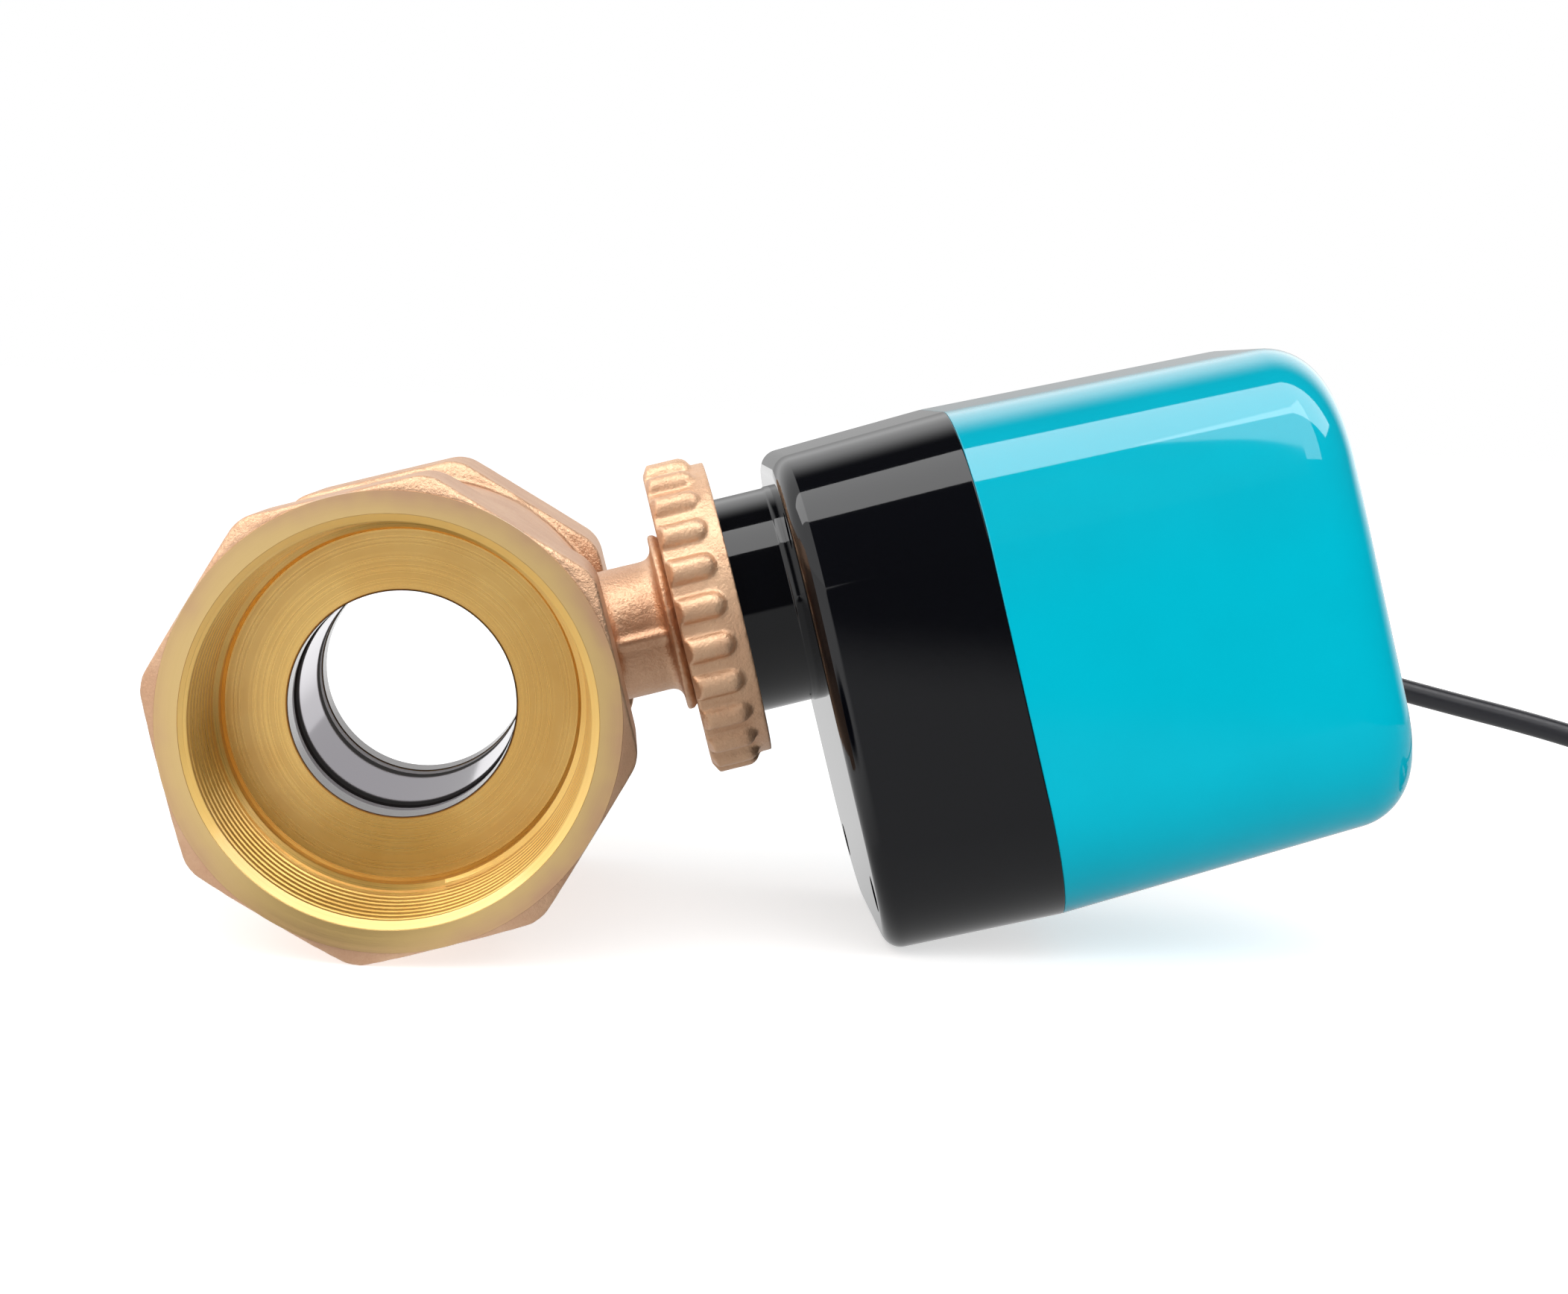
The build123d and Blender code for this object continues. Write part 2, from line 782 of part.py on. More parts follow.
def make_plate_screws():
    return [
        rod(screw_radius, plate_bottom - plate_screw_length + 1, plate_top, x, y)
        + rod(2 * screw_radius, plate_top, plate_top + screw_radius, x, y)
        for x, y in plate_post_places
    ]


# Motor, cams and switches


def motor_ear_places():
    """The two fixing ears, on opposite sides of the motor's can."""
    places = []
    for turn in (0, 180):
        x, y = polar(motor_radius + motor_ear_step, motor_ear_direction + turn)
        places.append((motor_x + x, motor_y + y))
    return places


def make_motor():
    can = rod(motor_radius, plate_top, plate_top + motor_height, motor_x, motor_y)
    can = fillet(can.faces().sort_by(Axis.Z)[-1].edges(), motor_rim)
    ear_top = plate_top + motor_ear_thickness
    for x, y in motor_ear_places():
        mid_x = (x + motor_x) / 2
        mid_y = (y + motor_y) / 2
        web = Pos(mid_x, mid_y) * Rot(0, 0, motor_ear_direction) * block(
            motor_radius + motor_ear_step, 2 * motor_ear_radius, plate_top, ear_top
        )
        can = can + web + rod(motor_ear_radius, plate_top, ear_top, x, y)
        can = can - rod(screw_radius + sliding_gap, plate_top - 1, ear_top + 1, x, y)
    bearing_top = plate_top + motor_bearing_depth
    return can - rod(motor_shaft_radius + running_gap, plate_top - 1, bearing_top, pinion_x, pinion_y)


def make_motor_screws():
    ear_top = plate_top + motor_ear_thickness
    return [
        rod(screw_radius, plate_top, ear_top, x, y)
        + rod(motor_head_radius, ear_top, ear_top + screw_radius, x, y)
        for x, y in motor_ear_places()
    ]


def cam_levels():
    """Heights of the two cams, each level with its switch."""
    first = plate_top + switch_lift + (switch_height - cam_thickness) / 2
    return first, first + switch_height + switch_gap


def make_cam(level, direction):
    """A disc with one round lobe that faces its direction."""
    nose = Pos(cam_lobe_radius - cam_nose_radius, 0) * Circle(cam_nose_radius)
    plan = make_hull(Circle(cam_radius).edges() + nose.edges())
    cam = extrude(Pos(0, 0, level) * Rot(0, 0, direction) * plan, cam_thickness)
    return cam - rod(cam_seat_radius + running_gap / 2, level - 1, level + cam_thickness + 1)


def switch_face():
    """How far the switches' front stands from the stem axis."""
    return cam_lobe_radius + plunger_stand + 2 * sliding_gap


def make_switch(index):
    low = plate_top + switch_lift + index * (switch_height + switch_gap)
    front = switch_face()
    case = block(switch_length, switch_depth, low, low + switch_height, y=front + switch_depth / 2)
    case = fillet(case.edges().filter_by(Axis.Z), component_edge)
    tabs = [
        block(
            tab_width,
            tab_length + 1,
            low + (switch_height - tab_thickness) / 2,
            low + (switch_height + tab_thickness) / 2,
            x=i * tab_pitch,
            y=front + switch_depth + (tab_length - 1) / 2,
        )
        for i in (-1, 0, 1)
    ]
    bore_depth = plunger_length - plunger_stand + plunger_travel + 2 * sliding_gap
    bore = Pos(0, 0, low + switch_height / 2) * along_pipe(
        rod(plunger_radius + sliding_gap, front - 1, front + bore_depth)
    )
    holes = [
        rod(switch_screw_radius + sliding_gap, low - 1, low + switch_height + 1, x, y)
        for x, y in switch_screw_places()
    ]
    return case + tabs - bore - holes


def switch_screw_places():
    """The two long screws that hold both switches, at opposite corners."""
    front = switch_face()
    side = switch_length / 2 - 2 * screw_radius
    return [(-side, front + 2 * screw_radius), (side, front + switch_depth - 2 * screw_radius)]


def make_plunger(index):
    level = plate_top + switch_lift + index * (switch_height + switch_gap) + switch_height / 2
    tip = switch_face() - plunger_stand
    button = along_pipe(rod(plunger_radius, tip, tip + plunger_length))
    return Pos(0, 0, level) * button


def make_switch_screws():
    stack_top = plate_top + switch_lift + 2 * switch_height + switch_gap
    stack = []
    for x, y in switch_screw_places():
        spacer = rod(switch_spacer_radius, plate_top, plate_top + switch_lift, x, y)
        shank = rod(switch_screw_radius, plate_top, stack_top, x, y)
        head = rod(switch_head_radius, stack_top, stack_top + screw_radius, x, y)
        stack.append(spacer + shank + head)
    return stack


# Circuit board


def make_board_pillars():
    return [rod(pillar_radius, plate_top, board_level, x, y) for x, y in pillar_places]


def make_circuit_board():
    """A board with its corners cut away round the cover's posts."""
    left = pillar_left - pillar_radius
    right = motor_far - pillar_radius
    narrow = 2 * (post_reach_y - board_clearance)
    wide = 2 * (pillar_right_y + pillar_radius)
    wide_left = housing_x - post_reach_x + board_clearance
    wide_right = housing_x + post_reach_x - board_clearance
    long_board = block(
        right - left, narrow, board_level, board_level + board_thickness, x=(right + left) / 2
    )
    wide_board = block(
        wide_right - wide_left,
        wide,
        board_level,
        board_level + board_thickness,
        x=(wide_right + wide_left) / 2,
    )
    return long_board + wide_board


def on_board(x_size, y_size, height, x, y):
    """A component that stands on the board, with its upright edges rounded."""
    low = board_level + board_thickness
    part = block(x_size, y_size, low, low + height, x, y)
    return fillet(part.edges().filter_by(Axis.Z), component_edge)


def make_capacitor():
    return on_board(capacitor_length, capacitor_width, capacitor_height, component_x, capacitor_y)


def make_relay():
    return on_board(relay_length, relay_width, relay_height, component_x, relay_y)


def make_terminal_block():
    top = board_level + board_thickness + terminal_height
    case = on_board(terminal_length, terminal_width, terminal_height, terminal_x, 0.0)
    wells = [
        rod(terminal_well_radius, top - terminal_well_depth, top + 1, terminal_x, j * terminal_pitch)
        for j in (-1, 0, 1)
    ]
    return case - wells


# Gland and cable


def at_gland(solid):
    """Places a solid drawn along the stem direction on the gland's axis."""
    return Pos(gland_x, 0, gland_height) * along_pipe(solid)


gland_outside = gland_pad_face
gland_joint = gland_outside + gland_flange
gland_mouth = gland_joint + gland_nut_length
gland_inside = gland_pad_face - gland_pad_depth
locknut_end = gland_inside - gland_locknut_length
cable_way_radius = cable_radius + sliding_gap
seal_space_radius = cable_way_radius + gland_seal_wall


def make_gland_body():
    stub = rod(gland_thread_radius, locknut_end - gland_stub_end, gland_outside)
    flange = hexagon(gland_across_flats, gland_outside, gland_joint)
    bore = rod(cable_way_radius, locknut_end - 2, gland_joint + 1)
    seal_space = rod(seal_space_radius, gland_joint - gland_seal_length / 2, gland_joint + 1)
    return at_gland(stub + flange - bore - seal_space)


def make_gland_nut():
    flats = hexagon(gland_across_flats, gland_joint, gland_joint + gland_flats_length)
    dome = rod(gland_across_flats / 2, gland_joint, gland_mouth)
    dome = fillet(dome.edges().sort_by(Axis.Z)[-1], gland_dome_round)
    bore = rod(cable_way_radius, gland_joint - 1, gland_mouth + 1)
    seal_space = rod(seal_space_radius, gland_joint - 1, gland_joint + gland_seal_length / 2)
    return at_gland(flats + dome - bore - seal_space)


def make_gland_seal():
    half = gland_seal_length / 2
    sleeve = rod(seal_space_radius - running_gap, gland_joint - half, gland_joint + half)
    bore = rod(cable_radius + running_gap, gland_joint - half - 1, gland_joint + half + 1)
    return at_gland(sleeve - bore)


def make_gland_locknut():
    nut = hexagon(gland_across_flats, locknut_end, gland_inside)
    return at_gland(nut - rod(gland_thread_radius + thread_gap, locknut_end - 1, gland_inside + 1))


def make_inner_cable():
    """The end of the cable inside the housing, with its three cores bared."""
    sheath_end = locknut_end - sheath_tail
    sheath = rod(cable_radius, sheath_end, cable_joint)
    cores = []
    for i in range(core_count):
        x, y = polar(core_radius + core_gap, 90 + 360 * i / core_count)
        cores.append(rod(core_radius, sheath_end - core_tail, sheath_end, x, y))
    return at_gland(sheath + cores)


def turn_at(points, i):
    """The turn of a route at one of its points, in degrees."""
    before = Vector(*points[i]) - Vector(*points[i - 1])
    after = Vector(*points[i + 1]) - Vector(*points[i])
    return before.get_angle(after)


def make_cable():
    """Straight runs joined by arcs as large as the runs allow."""
    points = cable_route
    runs = [(Vector(*b) - Vector(*a)).length for a, b in zip(points, points[1:])]
    radii = []
    for i in range(1, len(points) - 1):
        shorter = min(runs[i - 1], runs[i])
        radii.append(arc_share * shorter / tan(radians(turn_at(points, i) / 2)))
    path = FilletPolyline(*points, radius=radii)
    start = Plane(path @ 0, z_dir=path % 0)
    tube = sweep(start * Circle(cable_radius), path=path)
    print("cable runs", [round(run, 1) for run in runs])
    print("cable radii", [round(radius, 1) for radius in radii])
    whole = pi * cable_radius**2 * path.length
    print("cable length", round(path.length, 1), "volume share", round(tube.volume / whole, 4))
    return tube, path.length


def biarc(start, start_way, end, end_way):
    """Two arcs in space that meet smoothly, given both ends and their directions."""
    chord = end - start
    both = start_way + end_way
    spread = 2 * (1 - start_way.dot(end_way))
    reach = chord.dot(both)
    length = (sqrt(reach * reach + spread * chord.dot(chord)) - reach) / spread
    middle = (start + end + (start_way - end_way) * length) * 0.5
    middle_way = (end - end_way * length - start - start_way * length).normalized()
    return [
        Edge.make_tangent_arc(start, start_way, middle),
        Edge.make_tangent_arc(middle, middle_way, end),
    ]


def coil_points():
    """The coil's points and directions a quarter turn apart: in above, down a layer, out below."""
    low = coil_lift + cable_radius
    points = []
    for quarter in range(coil_quarters + 1):
        inward = min(quarter, coil_quarters - quarter)
        radius = coil_outer_radius - coil_pitch * inward / 4
        drop = min(1.0, max(0.0, (quarter - coil_quarters / 2 + 1) / 2))
        angle = -90 * quarter
        x, y = polar(radius, angle)
        height = low + coil_pitch * (1 - drop)
        way_x, way_y = polar(1.0, angle - 90)
        slope = -coil_pitch / (pi * radius) if 0 < drop < 1 else 0.0
        point = Vector(coil_x + x, coil_y + y, height)
        points.append((point, Vector(way_x, way_y, slope).normalized()))
    return points


def make_coil():
    """The put-away cable as one tube, straight for a diameter at both ends."""
    points = coil_points()
    first, first_way = points[0]
    last, last_way = points[-1]
    edges = [Edge.make_line(first - first_way * (2 * cable_radius), first)]
    for (start, start_way), (end, end_way) in zip(points, points[1:]):
        edges += biarc(start, start_way, end, end_way)
    edges.append(Edge.make_line(last, last + last_way * (2 * cable_radius)))
    path = Wire(edges)
    start = Plane(path @ 0, z_dir=path % 0)
    tube = sweep(start * Circle(cable_radius), path=path)
    samples = [path.position_at(i / coil_samples) for i in range(coil_samples + 1)]
    apart = int(4 * cable_radius * coil_samples / path.length) + 2
    nearest = min(
        (samples[i] - samples[j]).length
        for i in range(coil_samples + 1)
        for j in range(i + apart, coil_samples + 1)
    )
    print("coil gap to itself", round(nearest - 2 * cable_radius, 2))
    whole = pi * cable_radius**2 * path.length
    print("coil length", round(path.length, 1), "volume share", round(tube.volume / whole, 4))
    return tube, path.length


def make_coil_tie():
    """A flat strap round the coil's two strands at its far side."""
    radius = coil_outer_radius - coil_pitch * tie_quarter / 4
    x, y = polar(radius, -90 * tie_quarter)
    bundle_width = 2 * (cable_radius + tie_gap)
    bundle_height = coil_pitch + 2 * (cable_radius + tie_gap)
    middle = coil_lift + cable_radius + coil_pitch / 2
    inner = RectangleRounded(bundle_width, bundle_height, cable_radius)
    outer = RectangleRounded(
        bundle_width + 2 * tie_thickness, bundle_height + 2 * tie_thickness, cable_radius + tie_thickness
    )
    strap = extrude(Plane.YZ * (outer - inner), tie_width / 2, both=True)
    return Pos(coil_x + x, coil_y + y, middle) * strap


def make_wire_ends():
    """Three bared cores with tinned tips, which fan out from the end of the sheath."""
    last, last_way = coil_points()[-1]
    end = last + last_way * (2 * cable_radius)
    heading = degrees(atan2(last_way.Y, last_way.X))
    cores = []
    for i in (-1, 0, 1):
        rise = 0.5 * core_radius if i == 0 else -0.5 * core_radius
        core = rod(core_radius, core_start, core_length - tinned_length)
        core = core + rod(tinned_radius, core_length - tinned_length, core_length)
        flat = Rot(0, 90, 0) * core
        offset = Pos(0, i * (core_radius + core_fan_gap), rise)
        cores.append(Pos(end) * Rot(0, 0, heading) * offset * Rot(0, 0, i * core_spread) * flat)
    return cores


# Laying the valve down


def bench_tilt():
    """The stem's rise above the bench when the octagonal ends and the housing's edge rest on it."""
    draft = radians(base_draft)
    edge_z = base_bottom + base_edge_round
    edge_x = housing_long_side - ((seam - edge_z) * sin(draft) + base_edge_round) / cos(draft)
    corner = (half_flats - flat_corner_round) / cos(half_corner)
    along = corner * cos(half_corner) - edge_x
    across = corner * sin(half_corner) + edge_z
    return degrees(
        atan2(across, along) - acos((base_edge_round - flat_corner_round) / hypot(along, across))
    )


def group(solids):
    """One or several solids as one shape."""
    return Compound(solids) if isinstance(solids, list) else solids


seat = make_seat()
levels = cam_levels()
valve = {
    "valve_body": make_valve_body(),
    "end_cap": make_end_cap(),
    "body_seal": body_seal_ring(running_gap),
    "seat_outlet": seat,
    "seat_inlet": Rot(0, 0, 180) * seat,
    "ball": make_ball(),
    "stem": make_stem(),
    "stem_seals": stem_rings(running_gap / 2),
    "thrust_washer": make_thrust_washer(),
    "union_nut": make_union_nut(),
    "retaining_ring": retaining_wire(wire_radius),
    "base_housing": make_base(),
    "cover": make_cover(),
    "cover_seal": lip(seam + lip_height, seam + lip_height + seal_thickness, 0),
    "cover_screws": make_cover_screws(),
    "shaft_bush": make_shaft_bush(),
    "output_shaft": make_output_shaft(),
    "output_gear": make_output_gear(),
    "idler_gear": make_idler_gear(),
    "idler_pin": make_idler_pin(),
    "motor_pinion": make_motor_pinion(),
    "motor_shaft": make_motor_shaft(),
    "motor": make_motor(),
    "motor_screws": make_motor_screws(),
    "gear_plate": make_gear_plate(),
    "plate_screws": make_plate_screws(),
    "cam_open": make_cam(levels[0], cam_open_direction),
    "cam_close": make_cam(levels[1], cam_close_direction),
    "switch_open": make_switch(0),
    "switch_close": make_switch(1),
    "plunger_open": make_plunger(0),
    "plunger_close": make_plunger(1),
    "switch_screws": make_switch_screws(),
    "board_pillars": make_board_pillars(),
    "circuit_board": make_circuit_board(),
    "capacitor": make_capacitor(),
    "relay": make_relay(),
    "terminal_block": make_terminal_block(),
    "gland_body": make_gland_body(),
    "gland_nut": make_gland_nut(),
    "gland_seal": make_gland_seal(),
    "gland_locknut": make_gland_locknut(),
    "inner_cable": make_inner_cable(),
}

tilt = bench_tilt()
laid = {name: Rot(0, 90 - tilt, 0) * group(solids) for name, solids in valve.items()}
box = Compound(list(laid.values())).bounding_box()
bench_shift = Pos(-box.center().X, -box.center().Y, -box.min.Z)
cable, cable_length = make_cable()
coil, coil_length = make_coil()
pieces = {name: bench_shift * solid for name, solid in laid.items()}
pieces["cable"] = cable
pieces["cable_coil"] = coil
pieces["coil_tie"] = make_coil_tie()
pieces["wire_ends"] = group(make_wire_ends())

pipe_axis = bench_shift * Pos(0, 0, 0)
gland_axis = bench_shift * Rot(0, 90 - tilt, 0) * Pos(gland_x, cable_joint, gland_height)
print("tilt", round(tilt, 3), "shift", [round(v, 3) for v in pipe_axis.position])
print("cable joint", [round(v, 3) for v in gland_axis.position])
print("whole cable", round(cable_length + coil_length + cable_joint - locknut_end + sheath_tail, 1))

os.makedirs("parts", exist_ok=True)
for name, piece in pieces.items():
    export_step(piece, f"parts/{name}.step")
print("nodes", len(pieces))
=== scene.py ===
import bmesh
import bpy
import json
from math import atan2, cos, degrees, pi, radians, sin, sqrt, tan
from mathutils import Matrix, Vector, noise


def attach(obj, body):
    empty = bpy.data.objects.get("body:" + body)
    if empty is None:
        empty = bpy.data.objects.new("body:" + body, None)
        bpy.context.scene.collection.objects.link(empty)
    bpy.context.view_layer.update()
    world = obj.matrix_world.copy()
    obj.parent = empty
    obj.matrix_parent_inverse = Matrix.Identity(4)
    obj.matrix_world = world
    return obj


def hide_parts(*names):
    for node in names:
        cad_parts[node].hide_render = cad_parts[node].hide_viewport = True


# The motorized ball valve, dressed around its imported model. Places are in metres.
# Pieces are drawn in the valve's own axes, in millimetres, and then laid down with it.
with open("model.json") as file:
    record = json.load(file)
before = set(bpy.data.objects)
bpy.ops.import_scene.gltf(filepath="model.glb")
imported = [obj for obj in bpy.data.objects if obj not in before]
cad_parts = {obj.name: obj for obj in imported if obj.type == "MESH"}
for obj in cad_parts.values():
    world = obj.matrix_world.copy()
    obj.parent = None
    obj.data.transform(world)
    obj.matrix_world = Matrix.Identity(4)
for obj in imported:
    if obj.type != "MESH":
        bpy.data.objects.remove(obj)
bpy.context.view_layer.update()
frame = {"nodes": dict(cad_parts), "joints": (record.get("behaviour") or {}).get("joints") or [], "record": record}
mm = 0.001

# The valve's own axes, read from the joint of its ball: Z up the stem, Y along the pipe
ball_turn = next(j for j in frame["joints"] if j["name"] == "ball_turn")
pipe_middle = Vector(ball_turn["pos_m"])
stem_way = Vector(ball_turn["axis"]).normalized()
tilt = atan2(stem_way.z, stem_way.x)
LAID = Matrix.Translation(pipe_middle) @ Matrix.Rotation(pi / 2 - tilt, 4, "Y")
TO_OUTLET = Matrix.Rotation(-pi / 2, 4, "X")
TO_INLET = Matrix.Rotation(pi / 2, 4, "X")

# Camera
camera_place = (-0.032538, -0.455712, 0.086984)
camera_turn = (84.8176, -3.5795, -3.5028)
camera_data = bpy.data.cameras.new("photo_camera")
camera_data.lens = 63.613
camera_data.sensor_width = 36.0
camera_data.sensor_fit = "HORIZONTAL"
camera_data.clip_start = 0.01
camera = bpy.data.objects.new("photo_camera", camera_data)
camera.location = camera_place
camera.rotation_euler = [radians(turn) for turn in camera_turn]
bpy.context.scene.collection.objects.link(camera)
bpy.context.scene.camera = camera


# Shader maths


class Socket:
    """A number socket that expressions can be written on."""

    def __init__(self, tree, link):
        self.tree = tree
        self.link = link

    def maths(self, operation, *values):
        """One operation of the Math node on these values."""
        return self.tree.node("ShaderNodeMath", {"operation": operation}, values)

    def __add__(self, other):
        return self.maths("ADD", self, other)

    __radd__ = __add__

    def __mul__(self, other):
        return self.maths("MULTIPLY", self, other)

    __rmul__ = __mul__

    def __sub__(self, other):
        return self.maths("SUBTRACT", self, other)

    def __rsub__(self, other):
        return self.maths("SUBTRACT", other, self)

    def root(self):
        """The square root."""
        return self.maths("SQRT", self)

    def unsigned(self):
        """The number without its sign."""
        return self.maths("ABSOLUTE", self)

    def clamped(self):
        """The number kept between 0 and 1."""
        return self.tree.node("ShaderNodeClamp", {}, (self, 0.0, 1.0))

    def ramp(self, low, high, to_low=0.0, to_high=1.0):
        """Goes smoothly from to_low to to_high while this goes from low to high."""
        settings = {"interpolation_type": "SMOOTHSTEP"}
        return self.tree.node("ShaderNodeMapRange", settings, (self, low, high, to_low, to_high))


class Nodes:
    """A node tree whose nodes are made from values and sockets."""

    def __init__(self, tree):
        self.nodes = tree.nodes
        self.links = tree.links

    def put(self, socket, value):
        """Links a socket to another one, or gives it a number or a colour."""
        if isinstance(value, Socket):
            self.links.new(value.link, socket)
        elif isinstance(value, (tuple, list)) and len(socket.default_value) == 4:
            socket.default_value = (*value[:3], 1.0)
        else:
            socket.default_value = value

    def node(self, kind, settings, values, out=0):
        """Any node, from its settings and the values of its sockets by name or in turn."""
        made = self.nodes.new(kind)
        for name, setting in settings.items():
            setattr(made, name, setting)
        pairs = values.items() if isinstance(values, dict) else enumerate(values)
        for name, value in pairs:
            self.put(made.inputs[name], value)
        return Socket(self, made.outputs[out])

    def split(self, vector):
        """The three numbers of a vector."""
        made = self.nodes.new("ShaderNodeSeparateXYZ")
        self.put(made.inputs[0], vector)
        return [Socket(self, out) for out in made.outputs]

    def join(self, x, y, z):
        """A vector, or a grey, from three numbers."""
        return self.node("ShaderNodeCombineXYZ", {}, (x, y, z))


class Finish(Nodes):
    """A material with its principled shader."""

    def __init__(self, name, **shader):
        self.material = bpy.data.materials.new(name)
        self.material.use_nodes = True
        super().__init__(self.material.node_tree)
        self.shader = self.nodes["Principled BSDF"]
        self.place = self.node("ShaderNodeTexCoord", {}, (), "Object")
        for socket, value in shader.items():
            self.set(socket.replace("_", " "), value)

    def set(self, name, value):
        """Sets one socket of the shader."""
        self.put(self.shader.inputs[name], value)

    def from_point(self, centre):
        """The place on the piece, measured from a point."""
        return self.node("ShaderNodeVectorMath", {"operation": "SUBTRACT"}, (self.place, centre))

    def round_pipe(self):
        """How far the place lies from the pipe's axis, and how far along it."""
        x, along, z = self.split(self.from_point(tuple(pipe_middle)))
        return (x * x + z * z).root(), along

    def noise(self, place, scale, detail, roughness):
        """Smooth noise from 0 to 1, so many waves in a metre."""
        values = {"Vector": place, "Scale": scale, "Detail": detail, "Roughness": roughness}
        return self.node("ShaderNodeTexNoise", {}, values)

    def mix(self, factor, first, second):
        """Blends two colours."""
        values = {0: factor, 6: first, 7: second}
        return self.node("ShaderNodeMix", {"data_type": "RGBA"}, values, 2)

    def bump(self, height, depth, under=None):
        """Relief of that depth in metres where height goes from 0 to 1."""
        values = {"Height": height, "Distance": depth, "Strength": 1.0}
        if under is not None:
            values["Normal"] = under
        return self.node("ShaderNodeBump", {}, values)


def rgb(red, green, blue):
    """A colour as its screen values out of 255."""

    def linear(value):
        share = value / 255
        return share / 12.92 if share <= 0.04045 else ((share + 0.055) / 1.055) ** 2.4

    return (linear(red), linear(green), linear(blue))


def shade(tone, share):
    """A colour dimmed to a share of itself."""
    return tuple(value * share for value in tone)


# Studio

# How bright the room is, plainly and in reflections, and where one part gives way to the next
room_light = 0.62
dark_side = 0.04
front_glow, front_lean, front_edge = 1.25, 0.3, (-0.08, -0.03)
back_glow, back_edge = 1.5, (0.3, 0.7)
horizon_share, horizon_edge = 0.3, (0.85, 1.0)

# The floor, seen plainly and in painted light and shade in reflections, in metres on the bench
floor_reach = 12.0
floor_tone, floor_glow = 0.8, 0.6
floor_left_shine, floor_left_edge = 1.05, (-0.06, -0.006)
floor_right_shine, floor_right_edge = 0.45, (-0.6, -0.36)
floor_back_shine, floor_back_edge = 0.3, (-0.1, 0.1)
# Painted shadow of the hub in the floor's reflections: its middle, stretch and soft edge
hub_shadow, hub_shadow_stretch, hub_shadow_edge = (-0.071, -0.108), 0.4, (0.012, 0.026)

# Lamps: name, place, turn in degrees, size, brightness, and whether they shine or light
lamps = [
    ("overhead_shine", (0.03, -0.29, 0.95), (0.0, 0.0, 0.0), (2.6, 0.58), 3.6, "shine"),
    ("overhead_light", (0.03, -0.5, 0.95), (0.0, 0.0, 0.0), (2.6, 1.0), 1.3, "light"),
    ("front_light", (-0.2, -1.8, 0.9), (62.0, 0.0, -6.0), (2.4, 1.6), 1.6, "light"),
    ("socket_shine", (0.198, -0.318, 0.383), (58.4, 0.0, 44.1), (0.22, 0.42), 1.8, "shine"),
]


def ray_shares(tree):
    """Whether a ray comes from the camera, and whether from a shiny or a clear surface."""
    camera_ray = tree.node("ShaderNodeLightPath", {}, (), "Is Camera Ray")
    glossy_ray = tree.node("ShaderNodeLightPath", {}, (), "Is Glossy Ray")
    clear_ray = tree.node("ShaderNodeLightPath", {}, (), "Is Transmission Ray")
    return camera_ray, (glossy_ray + clear_ray).clamped()


def make_world():
    """White to the camera, even room light, and in reflections bright behind and front left."""
    world = bpy.data.worlds.new("studio")
    world.use_nodes = True
    bpy.context.scene.world = world
    sky = Nodes(world.node_tree)
    to_camera, to_shine = ray_shares(sky)
    across, behind, up = sky.split(sky.node("ShaderNodeTexCoord", {}, (), "Generated"))
    front = (across + up * front_lean).ramp(*front_edge, front_glow, dark_side)
    backdrop = behind.ramp(*back_edge, front, back_glow)
    backdrop = backdrop * behind.ramp(*horizon_edge, 1.0, horizon_share)
    others = (1 - to_camera - to_shine).clamped()
    background = sky.nodes["Background"]
    sky.put(background.inputs["Color"], (1.0, 1.0, 1.0))
    strength = to_camera + to_shine * backdrop + others * room_light
    sky.put(background.inputs["Strength"], strength)


def make_floor():
    """A pale floor that shows white and keeps a soft shadow.

    In reflections it shows painted light and shade: darker at the right and far in front, and
    with a painted shadow of the hub in a patch before the valve's near socket.
    """
    look = Finish("pale_floor", Roughness=1.0, Emission_Strength=1.0)
    to_camera, to_shine = ray_shares(look)
    across, along, _ = look.split(look.place)
    glow = to_camera * floor_glow
    look.set("Base Color", (floor_tone, floor_tone, floor_tone))
    look.set("Specular IOR Level", 0.0)
    look.set("Emission Color", look.join(glow, glow, glow))
    # Painted light and shade: in reflections the floor is brighter at the left and behind, and darker at the right
    # and far in front
    right = along.ramp(*floor_right_edge, dark_side, floor_right_shine)
    right = right + along.ramp(*floor_back_edge, 0.0, floor_back_shine)
    shine = across.ramp(*floor_left_edge, floor_left_shine, right)
    # Painted shadow of the hub: a patch before the valve's near socket darkens in reflections
    from_hub = across - hub_shadow[0]
    before_hub = (along - hub_shadow[1]) * hub_shadow_stretch
    distance = (from_hub * from_hub + before_hub * before_hub).root()
    shine = shine * distance.ramp(*hub_shadow_edge)
    painted_reflection = look.node("ShaderNodeEmission", {}, {"Color": look.join(shine, shine, shine)})
    lit = Socket(look, look.shader.outputs[0])
    surface = look.node("ShaderNodeMixShader", {}, (to_shine, lit, painted_reflection))
    look.put(look.nodes["Material Output"].inputs["Surface"], surface)
    bm = bmesh.new()
    bmesh.ops.create_grid(bm, x_segments=1, y_segments=1, size=floor_reach)
    floor = as_object("floor", bm)
    floor.data.materials.append(look.material)


def softbox(name, place, turn, size, radiance, use):
    """A rectangular lamp of a given brightness, for lighting or for reflections."""
    data = bpy.data.lights.new(name, "AREA")
    data.shape = "RECTANGLE"
    data.size, data.size_y = size
    data.energy = radiance * pi * size[0] * size[1]
    lamp = bpy.data.objects.new(name, data)
    lamp.location = place
    lamp.rotation_euler = [radians(angle) for angle in turn]
    lamp.visible_camera = False
    lamp.visible_glossy = use == "shine"
    lamp.visible_diffuse = use == "light"
    bpy.context.scene.collection.objects.link(lamp)


# Modelling helpers


def as_object(name, bm):
    """Puts a shape into the scene as an object, which uses the shape up."""
    made = bpy.data.objects.new(name, bpy.data.meshes.new(name))
    bm.to_mesh(made.data)
    bm.free()
    bpy.context.scene.collection.objects.link(made)
    return made


